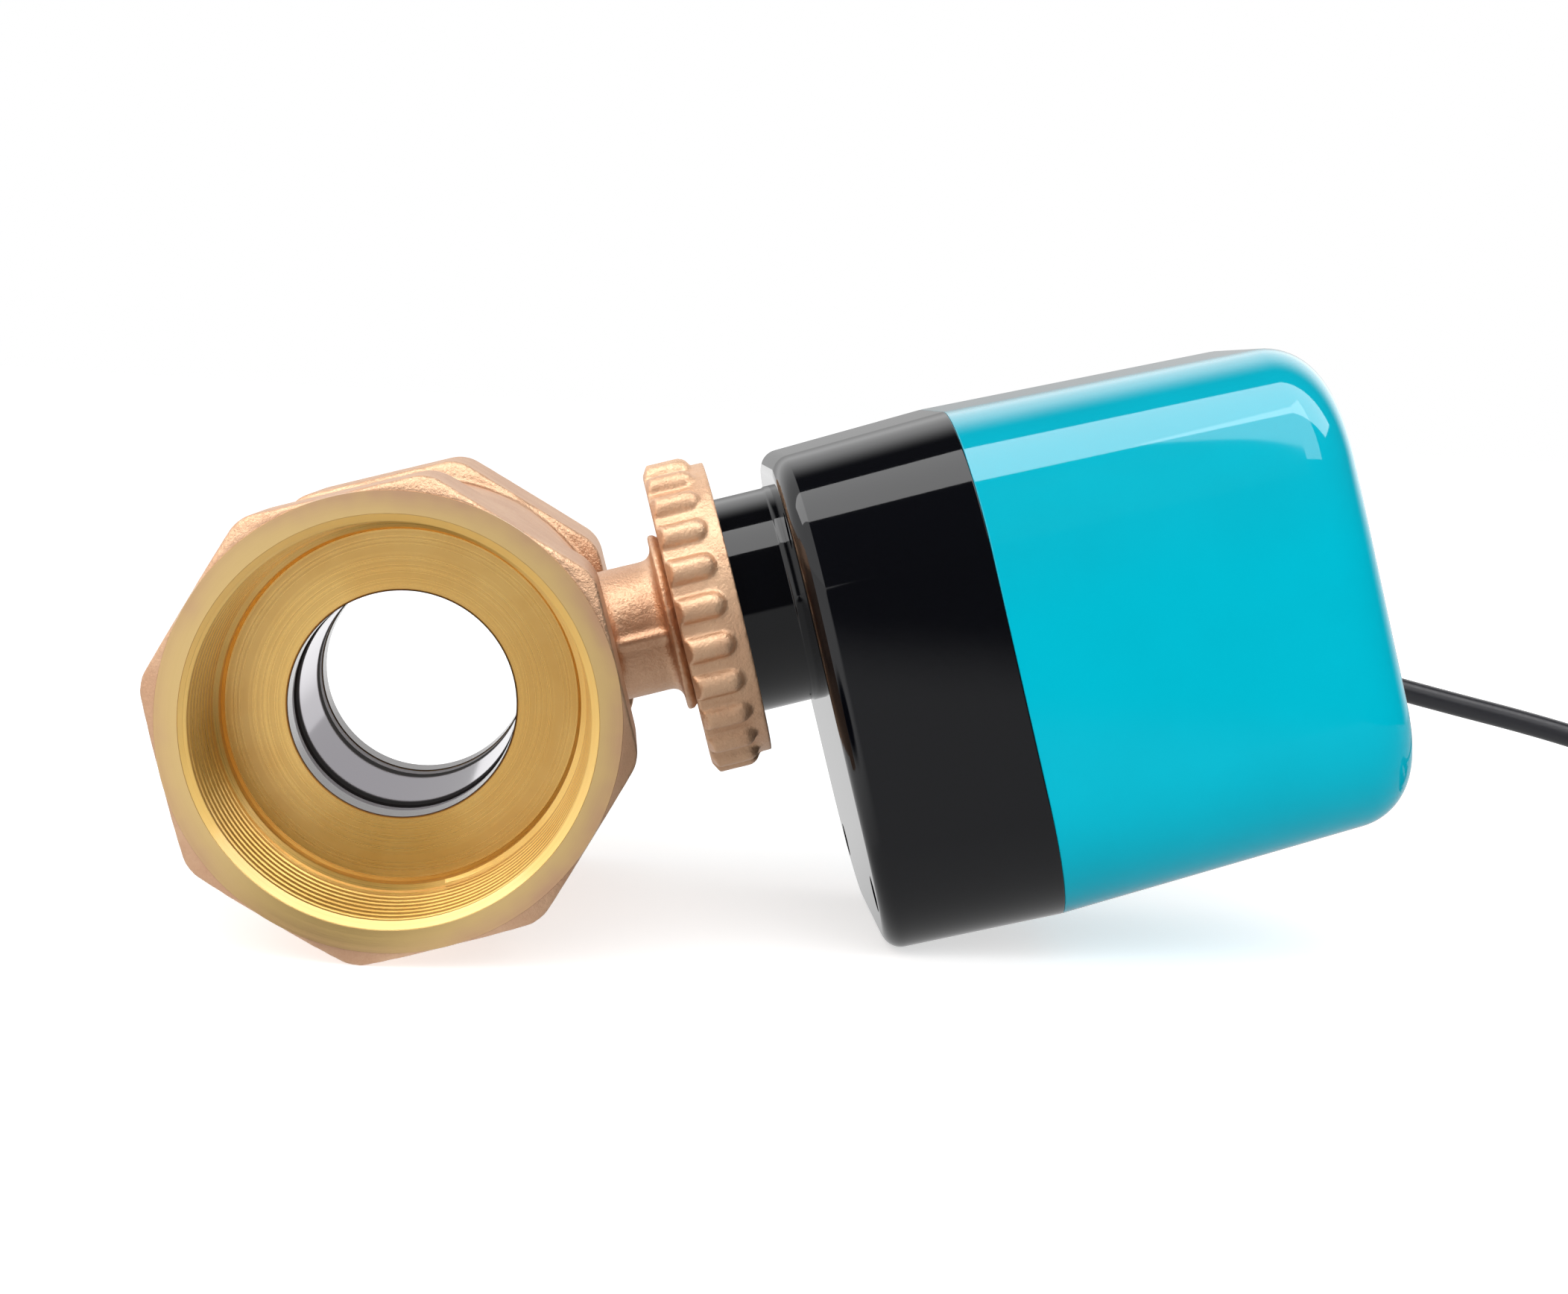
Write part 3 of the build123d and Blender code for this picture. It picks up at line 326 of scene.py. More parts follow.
def shaped(target, tools=()):
    """The mesh that an object's modifiers leave, after which the object and its tools go."""
    bpy.context.view_layer.update()
    seen = target.evaluated_get(bpy.context.evaluated_depsgraph_get())
    result = bmesh.new()
    result.from_mesh(seen.to_mesh())
    seen.to_mesh_clear()
    for obj in [target, *tools]:
        mesh = obj.data
        bpy.data.objects.remove(obj)
        bpy.data.meshes.remove(mesh)
    return result


def cut(bm, cutters, operation="DIFFERENCE"):
    """The shape with others taken away, joined on or kept in common."""
    target = as_object("target", bm)
    tools = [as_object("tool", cutter) for cutter in cutters]
    for tool in tools:
        modifier = target.modifiers.new("cut", "BOOLEAN")
        modifier.operation = operation
        modifier.solver = "EXACT"
        modifier.object = tool
    result = shaped(target, tools)
    bmesh.ops.remove_doubles(result, verts=result.verts, dist=1e-6)
    return result


def together(*shapes):
    """Several shapes as one mesh."""
    first, *others = shapes
    for other in others:
        mesh = bpy.data.meshes.new("part")
        other.to_mesh(mesh)
        other.free()
        first.from_mesh(mesh)
        bpy.data.meshes.remove(mesh)
    return first


def moved(bm, matrix):
    """The same shape in another place."""
    bmesh.ops.transform(bm, matrix=matrix, verts=bm.verts)
    return bm


def copy_of(name):
    """A node's shape with its triangles merged, stood up in the valve's own axes."""
    bm = bmesh.new()
    bm.from_mesh(frame["nodes"][name].data)
    bmesh.ops.remove_doubles(bm, verts=bm.verts, dist=1e-6)
    return moved(bm, LAID.inverted())


def softened(bm, edges, radius, steps):
    """The same shape with some of its edges rounded."""
    bmesh.ops.bevel(
        bm,
        geom=edges,
        offset=radius * mm,
        affect="EDGES",
        segments=steps,
        profile=0.5,
        material=-1,
    )
    return bm


def thinned(bm, most):
    """The same shape in so many triangles at most."""
    triangles = sum(len(face.verts) - 2 for face in bm.faces)
    if triangles <= most:
        return bm
    target = as_object("thinned", bm)
    modifier = target.modifiers.new("fewer", "DECIMATE")
    modifier.ratio = most / triangles
    return shaped(target)


# A casting's skin: how often it is smoothed, its waves and its sand grain, in millimetres
casting_triangles = 190000
smoothing_rounds = 2
wave_length, sand_length, sand_depth = 9.0, 1.3, 0.02


def cast(bm, voxel, swell):
    """Gives a shape the soft edges and the uneven skin of a sand casting."""
    target = as_object("casting", bm)
    modifier = target.modifiers.new("voxels", "REMESH")
    modifier.mode = "VOXEL"
    modifier.voxel_size = voxel * mm
    result = shaped(target)
    for _ in range(smoothing_rounds):
        bmesh.ops.smooth_vert(
            result,
            verts=result.verts,
            factor=0.5,
            use_axis_x=True,
            use_axis_y=True,
            use_axis_z=True,
        )
    result.normal_update()
    for vert in result.verts:
        wave = noise.noise(vert.co * (1000.0 / wave_length)) * swell
        sand = noise.noise(vert.co * (1000.0 / sand_length)) * sand_depth
        vert.co += vert.normal * ((wave + sand) * mm)
    return thinned(result, casting_triangles)


def bar(low, high, radius, x=0.0, y=0.0, steps=48):
    """A plain round bar up the stem between two heights."""
    bm = bmesh.new()
    place = Matrix.Translation((x * mm, y * mm, (low + high) / 2 * mm))
    bmesh.ops.create_cone(
        bm,
        cap_ends=True,
        segments=steps,
        radius1=radius * mm,
        radius2=radius * mm,
        depth=(high - low) * mm,
        matrix=place,
    )
    return bm


def block(x_size, y_size, low, high, x=0.0, y=0.0):
    """A plain block between two heights."""
    bm = bmesh.new()
    scale = Matrix.Diagonal((x_size * mm, y_size * mm, (high - low) * mm, 1.0))
    place = Matrix.Translation((x * mm, y * mm, (low + high) / 2 * mm))
    bmesh.ops.create_cube(bm, size=1.0, matrix=place @ scale)
    return bm


def spun(profile, steps=128):
    """A closed ring of (radius, height) points turned round the stem axis."""
    bm = bmesh.new()
    points = [bm.verts.new((radius * mm, 0.0, height * mm)) for radius, height in profile]
    for first, second in zip(points, points[1:] + points[:1]):
        bm.edges.new((first, second))
    bmesh.ops.spin(
        bm,
        geom=bm.verts[:] + bm.edges[:],
        cent=(0.0, 0.0, 0.0),
        axis=(0.0, 0.0, 1.0),
        angle=2 * pi,
        steps=steps,
        use_merge=True,
    )
    bmesh.ops.remove_doubles(bm, verts=bm.verts, dist=1e-7)
    bmesh.ops.recalc_face_normals(bm, faces=bm.faces)
    return bm


def arc(centre, radius, start, end, steps):
    """Points of an arc in a profile, angles in degrees."""
    points = []
    for i in range(steps + 1):
        angle = radians(start + (end - start) * i / steps)
        points.append((centre[0] + radius * cos(angle), centre[1] + radius * sin(angle)))
    return points


def piece(name, bm, body, slot, replaced=(), finish=None, matrix=LAID, smooth=35.0):
    """Lays a finished shape down with the valve and gives it its body and its finish, by default the slot's."""
    moved(bm, matrix)
    for edge in bm.edges:
        edge.smooth = len(edge.link_faces) == 2 and edge.calc_face_angle(0.0) < radians(smooth)
    for face in bm.faces:
        face.smooth = True
    made = as_object(name, bm)
    made.data.materials.append(finishes[finish or slot])
    weighted = made.modifiers.new("even_shading", "WEIGHTED_NORMAL")
    weighted.keep_sharp = True
    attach(made, body)
    if replaced:
        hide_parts(*replaced)
    return made


# Finishes


def cast_brass(name, tone, metallic):
    """Brass as it leaves the sand mould: fine grain, copper-toned, a little shine."""
    finish = Finish(name, Metallic=metallic)
    grain = finish.noise(finish.place, 2600.0, 3.0, 0.62)
    pits = finish.noise(finish.place, 900.0, 2.0, 0.5)
    stains = finish.noise(finish.place, 90.0, 4.0, 0.6)
    red, green, blue = tone
    worn = (red * 0.9, green * 0.84, blue * 0.82)
    finish.set("Base Color", finish.mix(stains.ramp(0.35, 0.7), worn, tone))
    finish.set("Roughness", grain.ramp(0.3, 0.7, 0.36, 0.52))
    coarse = finish.bump(pits, 0.00013)
    finish.set("Normal", finish.bump(grain, 0.0001, coarse))
    return finish.material


def turned_brass(name, tone, dull, ring_depth, roughness, inner, outer=None):
    """Machined brass with the fine rings of the tool and duller clouds.

    Up to the radius that inner gives it has another tone, and past that of outer it is
    rougher and has a third, lighter one, which is painted light.
    """
    finish = Finish(name, Metallic=0.82, Coat_Weight=1.0, Coat_Roughness=0.2)
    radius, along = finish.round_pipe()
    rings = finish.noise(finish.join(radius, along, 0.0), 5200.0, 3.0, 0.7)
    cloud = finish.noise(finish.place, 60.0, 3.0, 0.6)
    colour = finish.mix(cloud.ramp(0.35, 0.65), dull, tone)
    low, high, ragged, inner_tone = inner
    colour = finish.mix((radius + cloud * ragged).ramp(low, high), inner_tone, colour)
    rough = rings.ramp(0.3, 0.7, roughness * 0.8, roughness * 1.25)
    if outer:
        # Painted light: past the outer radius, where the mouth's chamfer is, a lighter tone stands in for light
        low, high, rougher, painted_lit_tone = outer
        outside = radius.ramp(low, high)
        colour = finish.mix(outside, colour, painted_lit_tone)
        rough = rough + outside * rougher
    finish.set("Base Color", colour)
    finish.set("Roughness", rough)
    finish.set("Normal", finish.bump(rings, ring_depth))
    return finish.material


def plain_metal(name, tone, roughness):
    """Bare metal with a little wear."""
    finish = Finish(name, Metallic=1.0)
    wear = finish.noise(finish.place, 1400.0, 3.0, 0.6)
    finish.set("Base Color", finish.mix(wear.ramp(0.3, 0.7), shade(tone, 0.93), tone))
    finish.set("Roughness", wear.ramp(0.3, 0.7, roughness * 0.85, roughness * 1.2))
    finish.set("Normal", finish.bump(wear, 0.000004))
    return finish.material


def chromed_ball_finish(name, tone, shaded):
    """Chrome that darkens at both ends of the ball's bore, where the seats shade it."""
    finish = Finish(name, Metallic=1.0)
    radius, along = finish.round_pipe()
    near_end = along.unsigned().ramp(0.0115, 0.0150)
    in_bore = radius.ramp(0.0180, 0.0184, 1.0, 0.0)
    dark = near_end * in_bore
    finish.set("Base Color", finish.mix(dark, tone, shaded))
    finish.set("Metallic", 1 - dark)
    finish.set("Roughness", dark.ramp(0.0, 1.0, 0.08, 0.9))
    return finish.material


def moulded_plastic(name, tone, roughness, fineness, depth, **shader):
    """Moulded plastic, or rubber, with a fine grain and faint clouds."""
    finish = Finish(name, **shader)
    grain = finish.noise(finish.place, fineness, 3.0, 0.55)
    cloud = finish.noise(finish.place, 45.0, 3.0, 0.5)
    finish.set("Base Color", finish.mix(cloud.ramp(0.3, 0.7), shade(tone, 0.95), tone))
    finish.set("Roughness", grain.ramp(0.3, 0.7, roughness * 0.85, roughness * 1.15))
    finish.set("Normal", finish.bump(grain, depth))
    return finish.material


def teal_plastic(name, tone):
    """Glossy coloured plastic, more so on its upper side, where its clear coat is a painted sheen."""
    shader = {"IOR": 1.5, "Specular_IOR_Level": 0.12, "Coat_IOR": 1.6, "Coat_Roughness": 0.05}
    finish = Finish(name, Roughness=0.06, **shader)
    across, _, rise = finish.split(finish.from_point(tuple(pipe_middle)))
    above = rise * sin(pi / 2 - tilt) - across * cos(pi / 2 - tilt)
    cloud = finish.noise(finish.place, 45.0, 3.0, 0.5)
    finish.set("Base Color", finish.mix(cloud.ramp(0.3, 0.7), shade(tone, 0.96), tone))
    # Painted sheen: the clear coat, and the reflection it gives, fades out towards the lower side
    finish.set("Coat Weight", above.ramp(-0.012, 0.006))
    return finish.material


finishes = {
    "cast_brass": cast_brass("cast_brass", rgb(212, 174, 142), 0.92),
    "nut_brass": cast_brass("nut_brass", rgb(222, 184, 150), 0.75),
    "machined_brass": turned_brass(
        "machined_brass",
        rgb(232, 188, 100),
        rgb(224, 175, 84),
        ring_depth=0.000014,
        roughness=0.3,
        inner=(0.01755, 0.0178, 0.0, rgb(92, 82, 82)),
        # Past the outer radius the mouth's chamfer takes a lighter tone, which is painted light
        outer=(0.0292, 0.0294, 0.42, rgb(252, 220, 138)),
    ),
    "faced_brass": turned_brass(
        "faced_brass",
        rgb(202, 158, 122),
        rgb(212, 174, 120),
        ring_depth=0.000008,
        roughness=0.4,
        inner=(0.0325, 0.0365, 0.004, rgb(222, 188, 122)),
    ),
    "chrome": chromed_ball_finish("chrome", rgb(178, 170, 182), rgb(26, 23, 25)),
    "steel": plain_metal("steel", rgb(168, 168, 172), 0.28),
    "motor_steel": plain_metal("motor_steel", rgb(150, 150, 155), 0.34),
    "tinned_copper": plain_metal("tinned_copper", rgb(186, 180, 172), 0.3),
    "black_plastic": moulded_plastic(
        "black_plastic", (0.002, 0.0022, 0.0035), 0.05, 400.0, 0.000002, IOR=1.5
    ),
    "teal_plastic": teal_plastic("teal_plastic", rgb(0, 180, 203)),
}

# Plastics and rubber: colour, roughness, how fine their grain is and how deep
moulded = {
    # White PTFE, darkened to a lavender grey as painted shade, for the shade the seats lie in
    "ptfe": (rgb(128, 122, 134), 0.42, 1500.0, 0.000006),
    "seal_rubber": (rgb(28, 28, 29), 0.6, 1800.0, 0.00001),
    "gear_plastic": (rgb(226, 222, 206), 0.4, 1600.0, 0.000006),
    "plate_plastic": (rgb(52, 52, 55), 0.45, 1600.0, 0.00001),
    "switch_plastic": (rgb(38, 38, 42), 0.4, 1500.0, 0.000006),
    "board": (rgb(20, 96, 52), 0.25, 1500.0, 0.000004),
    "component_blue": (rgb(28, 52, 128), 0.3, 900.0, 0.000005),
    "component_black": (rgb(30, 30, 32), 0.4, 900.0, 0.000005),
    "terminal_green": (rgb(46, 128, 76), 0.4, 900.0, 0.000005),
    "gland_plastic": (rgb(34, 34, 37), 0.38, 1700.0, 0.00001),
    "cable_sheath": (rgb(36, 35, 40), 0.34, 1200.0, 0.000008),
    "tie_plastic": (rgb(40, 40, 42), 0.36, 1500.0, 0.000005),
    "core_wire": (rgb(122, 74, 40), 0.4, 1500.0, 0.000005),
    "core_blue": (rgb(34, 92, 168), 0.4, 1500.0, 0.000005),
    "core_green": (rgb(70, 132, 58), 0.4, 1500.0, 0.000005),
}
for name, look in moulded.items():
    finishes[name] = moulded_plastic(name, *look)
for entry in frame["record"]["subparts"]:
    node = frame["nodes"][entry["node"]]
    node.data.materials.clear()
    node.data.materials.append(finishes[entry["material_slot"]])


# Cable, in metres on the bench

# The route of the free cable from the gland to its coil
cable_route = [
    (0.01243, 0.0440, 0.06051),
    (0.01243, 0.0620, 0.06051),
    (0.0200, 0.0765, 0.0602),
    (0.0370, 0.0830, 0.0572),
    (0.0650, 0.0845, 0.0510),
    (0.0960, 0.0825, 0.0435),
    (0.1270, 0.0800, 0.0365),
    (0.1580, 0.0765, 0.0306),
    (0.1810, 0.0685, 0.0240),
    (0.1975, 0.0545, 0.0130),
    (0.2035, 0.0395, 0.00795),
    (0.2035, 0.0255, 0.00795),
]
cable_radius = 0.00225
coil_centre = (0.1775, 0.0210)
coil_outer_radius = 0.0260
coil_pitch = 0.0050
coil_lift = 0.0007
coil_quarters = 10
points_a_quarter = 4
core_radius, core_gap = 0.00075, 0.00035
tinned_radius = 0.00045
core_heading, core_spread = 78.0, 6.0
core_stops = (-0.002, 0.002, 0.007, 0.012, 0.016)
tinned_stops = (0.0155, 0.018, 0.020, 0.022)


def coil_points():
    """Points of the coil: inwards above, down a layer, outwards below, clockwise from above."""
    low = coil_lift + cable_radius
    points = []
    for i in range(coil_quarters * points_a_quarter + 1):
        quarter = i / points_a_quarter
        inward = min(quarter, coil_quarters - quarter)
        radius = coil_outer_radius - coil_pitch * inward / 4
        drop = min(1.0, max(0.0, (quarter - coil_quarters / 2 + 1) / 2))
        drop = drop * drop * (3 - 2 * drop)
        angle = radians(-90.0 * quarter)
        x = coil_centre[0] + radius * cos(angle)
        y = coil_centre[1] + radius * sin(angle)
        points.append((x, y, low + coil_pitch * (1 - drop)))
    return points


def cord(name, points, radius, finish):
    """A round cord on one smooth line."""
    curve = bpy.data.curves.new(name, "CURVE")
    curve.dimensions = "3D"
    curve.bevel_depth = radius
    curve.bevel_resolution = 8
    curve.resolution_u = 12
    curve.use_fill_caps = True
    spline = curve.splines.new("NURBS")
    spline.points.add(len(points) - 1)
    for point, place in zip(spline.points, points):
        point.co = (*place, 1.0)
    spline.order_u = 3
    spline.use_endpoint_u = True
    made = bpy.data.objects.new(name, curve)
    bpy.context.scene.collection.objects.link(made)
    curve.materials.append(finishes[finish])
    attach(made, "valve")
    return made


def make_cable():
    """The free cable with its coil, the tie round it and three bared cores at its end."""
    coil = coil_points()
    sheath_end = Vector(coil[-1]) + Vector((0.0, 2 * cable_radius, 0.0))
    route = cable_route[:-1] + coil + [tuple(sheath_end)]
    cable = cord("free_cable", route, cable_radius, "cable_sheath")
    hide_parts("cable", "cable_coil")
    for i, colour in zip((-1, 0, 1), ("core_wire", "core_blue", "core_green")):
        rise = core_radius * (0.5 if i == 0 else -0.5)
        root = sheath_end + Vector((-i * (core_radius + core_gap), 0.0, rise))
        heading = radians(core_heading + i * core_spread)
        way = Vector((cos(heading), sin(heading), 0.0))
        for part, stops, radius, finish in (
            ("core_", core_stops, core_radius, colour),
            ("core_tip_", tinned_stops, tinned_radius, "tinned_copper"),
        ):
            points = [tuple(root + way * stop) for stop in stops]
            cord(part + str(i + 2), points, radius, finish)
    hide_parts("wire_ends")
    tie = make_tie()


def make_tie():
    """A flat strap round the coil's two strands at its far side, with its locking head."""
    thickness, width, slack = 0.6, 4.0, 0.1
    head_length, head_width, head_height, head_round = 4.6, 3.2, 2.2, 0.5
    radius = coil_outer_radius - coil_pitch * 3 / 4
    half_width = cable_radius / mm + slack
    half_height = half_width + coil_pitch / mm / 2
    shells = []
    for grow, reach in ((thickness, width / 2), (0.0, width)):
        bm = block(2 * reach, 2 * (half_width + grow), -half_height - grow, half_height + grow)
        along = [edge for edge in bm.edges if abs(edge.verts[0].co.x - edge.verts[1].co.x) > mm]
        shells.append(softened(bm, along, cable_radius / mm + grow, 10))
    top = half_height + thickness
    head = block(head_length, head_width, top - slack, top + head_height)
    head = softened(head, head.edges[:], head_round, 3)
    strap = cut(cut(shells[0], [shells[1]]), [head], "UNION")
    middle = (coil_centre[0], coil_centre[1] + radius, coil_lift + cable_radius + coil_pitch / 2)
    place = Matrix.Translation(middle)
    return piece("cable_tie", strap, "valve", "tie_plastic", ("coil_tie",), matrix=place)


# Brass castings and their machined sockets, in millimetres from the valve's middle

body_voxel, cap_voxel, nut_voxel = 0.48, 0.45, 0.31
hub_swell, nut_swell = 0.025, 0.02
no_creases = 180.0
face = 54.0
face_ring_reach = 33.9
face_stand = 0.12
mouth_radius = 30.37
thread_mouth_radius = 29.25
thread_wall_radius = 28.33
thread_depth = 0.55
thread_pitch = 2.309
thread_end = 33.0
relief_radius = 27.5
shoulder = 29.5
port_radius = 17.5
seat_back = 23.03
pocket_radius = 22.55
thread_runout, shoulder_chamfer, port_chamfer = 0.4, 0.5, 0.3
hub_joint = 28.4
spigot_radius = 29.0
spigot_end = 13.6
seal_groove = (24.8, 26.6, 27.4)
liner_radius = 31.0
ridge_low, ridge_high, ridge_reach, ridge_radius, ridge_x = 31.5, 43.2, 10.75, 0.95, 0.8
pipe_ends = (("outlet", TO_OUTLET), ("inlet", TO_INLET))


def socket_profile():
    """From the mouth in to the port, as radius and station along the pipe."""
    return [
        (liner_radius, face),
        (mouth_radius, face),
        (thread_mouth_radius, face - (mouth_radius - thread_mouth_radius)),
        (thread_wall_radius, thread_end + thread_runout),
        (relief_radius, thread_end),
        (relief_radius, shoulder + shoulder_chamfer),
        (relief_radius - shoulder_chamfer, shoulder),
        (port_radius + port_chamfer, shoulder),
        (port_radius, shoulder - port_chamfer),
        (port_radius, seat_back),
    ]


def thread_groove():
    """The helix that the pipe thread leaves in its wall."""
    bm = bmesh.new()
    margin = 0.3
    start = thread_end + margin
    turns = (face - start) / thread_pitch + 0.5
    steps_a_turn = 72
    half_mouth, half_root = 0.75, 0.14
    fade_depth, fade_length = 0.9, 2.4
    corners = [
        (thread_wall_radius - margin, -half_mouth),
        (thread_wall_radius + thread_depth, -half_root),
        (thread_wall_radius + thread_depth, half_root),
        (thread_wall_radius - margin, half_mouth),
    ]
    points = [bm.verts.new((r * mm, 0.0, (start + s) * mm)) for r, s in corners]
    for first, second in zip(points, points[1:] + points[:1]):
        bm.edges.new((first, second))
    steps = int(turns * steps_a_turn)
    bmesh.ops.spin(
        bm,
        geom=bm.verts[:] + bm.edges[:],
        cent=(0.0, 0.0, 0.0),
        axis=(0.0, 0.0, 1.0),
        dvec=(0.0, 0.0, thread_pitch * mm / steps_a_turn),
        angle=2 * pi * steps / steps_a_turn,
        steps=steps,
    )
    ends = [edge for edge in bm.edges if len(edge.link_faces) == 1]
    bmesh.ops.holes_fill(bm, edges=ends, sides=4)
    taper = (thread_mouth_radius - thread_wall_radius) / (face - thread_end)
    for vert in bm.verts:
        height = vert.co.z / mm - thread_end
        fade_in = fade_depth * (1 - min(1.0, max(0.0, height / fade_length)))
        wider = 1 + (taper * height - fade_in) / thread_wall_radius
        vert.co.x, vert.co.y = vert.co.x * wider, vert.co.y * wider
    bmesh.ops.recalc_face_normals(bm, faces=bm.faces)
    return bm


def face_ring():
    """The faced end of a socket, tangent to the octagon's flats."""
    return spun(
        [
            (mouth_radius + 0.06, face - 0.7),
            (face_ring_reach - 0.1, face - 0.7),
            (face_ring_reach, face - 0.5),
            (face_ring_reach, face - 0.08),
            (face_ring_reach - 0.08, face + face_stand),
            (mouth_radius + 0.12, face + face_stand),
            (mouth_radius, face - 0.05),
        ],
        160,
    )


def make_castings():
    """The body and the end cap as cast, with their sockets turned and threaded."""
    bored_radius = liner_radius - 0.2
    core = moved(bar(seat_back, face + 2, bored_radius, steps=96), TO_OUTLET)
    body = together(cut(copy_of("valve_body"), [core]), parting_ridge())
    body = cast(body, body_voxel, hub_swell)
    piece("body_casting", body, "valve", "cast_brass", ("valve_body",), smooth=no_creases)
    core = moved(bar(spigot_end - 2, face + 2, bored_radius, steps=96), TO_INLET)
    cap = cast(cut(copy_of("end_cap"), [core]), cap_voxel, hub_swell)
    piece("cap_casting", cap, "valve", "cast_brass", ("end_cap",), smooth=no_creases)
    outlet = socket_profile() + [(liner_radius, seat_back)]
    inlet = socket_profile() + [
        (pocket_radius, seat_back),
        (pocket_radius, spigot_end),
        (spigot_radius, spigot_end),
        (spigot_radius, seal_groove[0]),
        (seal_groove[2], seal_groove[0]),
        (seal_groove[2], seal_groove[1]),
        (spigot_radius, seal_groove[1]),
        (spigot_radius, hub_joint),
        (liner_radius, hub_joint),
    ]
    for (name, way), profile in zip(pipe_ends, (outlet, inlet)):
        liner = cut(spun(profile), [thread_groove()])
        laid = LAID @ way
        piece(name + "_socket", liner, "valve", "cast_brass", finish="machined_brass", matrix=laid)
        piece(name + "_face", face_ring(), "valve", "cast_brass", finish="faced_brass", matrix=laid)


def parting_ridge():
    """The raised line that the mould's joint leaves along both sides of the neck."""
    sides = (-ridge_reach, ridge_reach)
    return together(
        *[bar(ridge_low, ridge_high, ridge_radius, ridge_x, side, steps=16) for side in sides]
    )


def make_union_nut():
    """The ribbed nut as cast."""
    nut = cast(copy_of("union_nut"), nut_voxel, nut_swell)
    piece("nut_casting", nut, "coupling_nut", "nut_brass", ("union_nut",), smooth=no_creases)


# Ball and seats

ball_radius = 26.0
bore_edge = 0.8
slot_width, slot_depth = 8.2, 5.5
seat_inner, seat_outer, seat_front, seat_chamfer = 17.7, 22.5, 14.03, 0.3
ball_gap = 0.12


def make_ball():
    """A chromed ball with its bore, the bore's softened edges and the stem's slot."""
    flared = port_radius + bore_edge
    rim = sqrt(ball_radius**2 - flared**2)
    edge = degrees(atan2(rim, flared))
    profile = [(port_radius, -rim + bore_edge), *arc((0.0, 0.0), ball_radius, -edge, edge, 40)]
    profile.append((port_radius, rim - bore_edge))
    ball = moved(spun(profile), TO_OUTLET)
    slot = block(2.2 * ball_radius, slot_width, ball_radius - slot_depth, ball_radius + 2)
    ball = cut(ball, [slot])
    piece("chromed_ball", ball, "ball_train", "chrome", ("ball",), smooth=40.0)


def make_seats():
    """Two soft rings, hollowed to the ball that turns in them."""
    reach = ball_radius + ball_gap
    front_radius = min(seat_outer, sqrt(reach**2 - seat_front**2))
    front = sqrt(reach**2 - front_radius**2)
    inner = degrees(atan2(sqrt(reach**2 - seat_inner**2), seat_inner))
    outer = degrees(atan2(front, front_radius))
    profile = [
        *arc((0.0, 0.0), reach, inner, outer, 12),
        (seat_outer, front),
        (seat_outer, seat_back - seat_chamfer),
        (seat_outer - seat_chamfer, seat_back),
        (seat_inner + seat_chamfer, seat_back),
        (seat_inner, seat_back - seat_chamfer),
    ]
    for name, way in pipe_ends:
        node = "seat_" + name
        piece(name + "_seat_ring", spun(profile), "valve", "ptfe", (node,), matrix=LAID @ way)


# Housing

seam = 93.0
base_height, cover_height = 28.9, 60.0
base_draft, cover_draft = 2.0, 2.2
base_round, cover_round = 3.2, 9.8
housing_width, housing_depth, housing_corner = 82.9, 76.5, 22.0
housing_middle = 17.65
wall = 2.5
floor_thickness = 3.0
seam_relief = 0.2
relief_steps, outer_steps, inner_steps = 4, 16, 8
post_places = [(x, y) for x in (-11.8, 47.1) for y in (-26.3, 26.3)]
plate_post_places = [(x, y) for x in (11.0, 38.0) for y in (-29.0, 29.0)]
gland_x, gland_height = -1.5, 78.5
idler_place = (23.59, 8.59)
housing_creases = 32.0

# The base's collar, where the nut and the output shaft are, as radius and height
collar_profile = [
    (9.8, 50.0),
    (17.6, 50.0),
    (17.9, 50.3),
    (17.9, 62.7),
    (18.0, 62.9),
    (18.1, 63.1),
    (18.1, 65.5),
    (9.8, 65.5),
]
gland_pad_profile = [(0.0, 33.0), (9.5, 33.0), (9.5, 38.2), (9.3, 38.4), (0.0, 38.4)]

# Round posts in the housing, and the ways through it, as lower end, upper end and radius
in_floor = 65.5
base_post = (in_floor, seam - 0.03, 4.4)
plate_post = (in_floor, 84.0, 3.5)
idler_boss = (in_floor, 68.9, 4.0)
cover_post = (seam + 0.02, seam + cover_height - wall / 2, 3.6)
cover_pilot = (seam - 1, seam + 11, 1.55)
screw_well = (62.0, 88.0, 2.9)
screw_hole = (63.0, 94.0, 1.65)
plate_pilot = (74.0, 85.0, 1.55)
shaft_way = (49.0, 69.0, 10.55)
idler_pin_hole = (66.1, 70.0, 2.05)
gland_way = (30.0, 40.0, 6.15)

# The base's lip and the slot for it in the cover, as lower end, upper end and both insets
lip = (seam - 0.5, seam + 3.0, wall - 1.15, wall)
lip_slot = (seam - 1, seam + 3.85, 1.3, 2.55)

# The collar's notches for the lugs on the neck, and the retaining wire's groove round it
lug_notches = (26.3, 3.3, 49.0, 51.55)
wire_place, wire_radius = (17.98, 51.9), 0.85


def housing_face(height, inset):
    """The rounded plan of the housing as one face, looking up the stem."""
    bm = bmesh.new()
    x_half = housing_width / 2 - inset
    y_half = housing_depth / 2 - inset
    corners = [(-x_half, -y_half), (x_half, -y_half), (x_half, y_half), (-x_half, y_half)]
    verts = [bm.verts.new(((housing_middle + x) * mm, y * mm, height * mm)) for x, y in corners]
    bm.faces.new(verts)
    bmesh.ops.bevel(
        bm,
        geom=bm.verts[:],
        offset=(housing_corner - inset) * mm,
        offset_type="OFFSET",
        affect="VERTICES",
        segments=22,
        profile=0.5,
        material=-1,
    )
    return bm


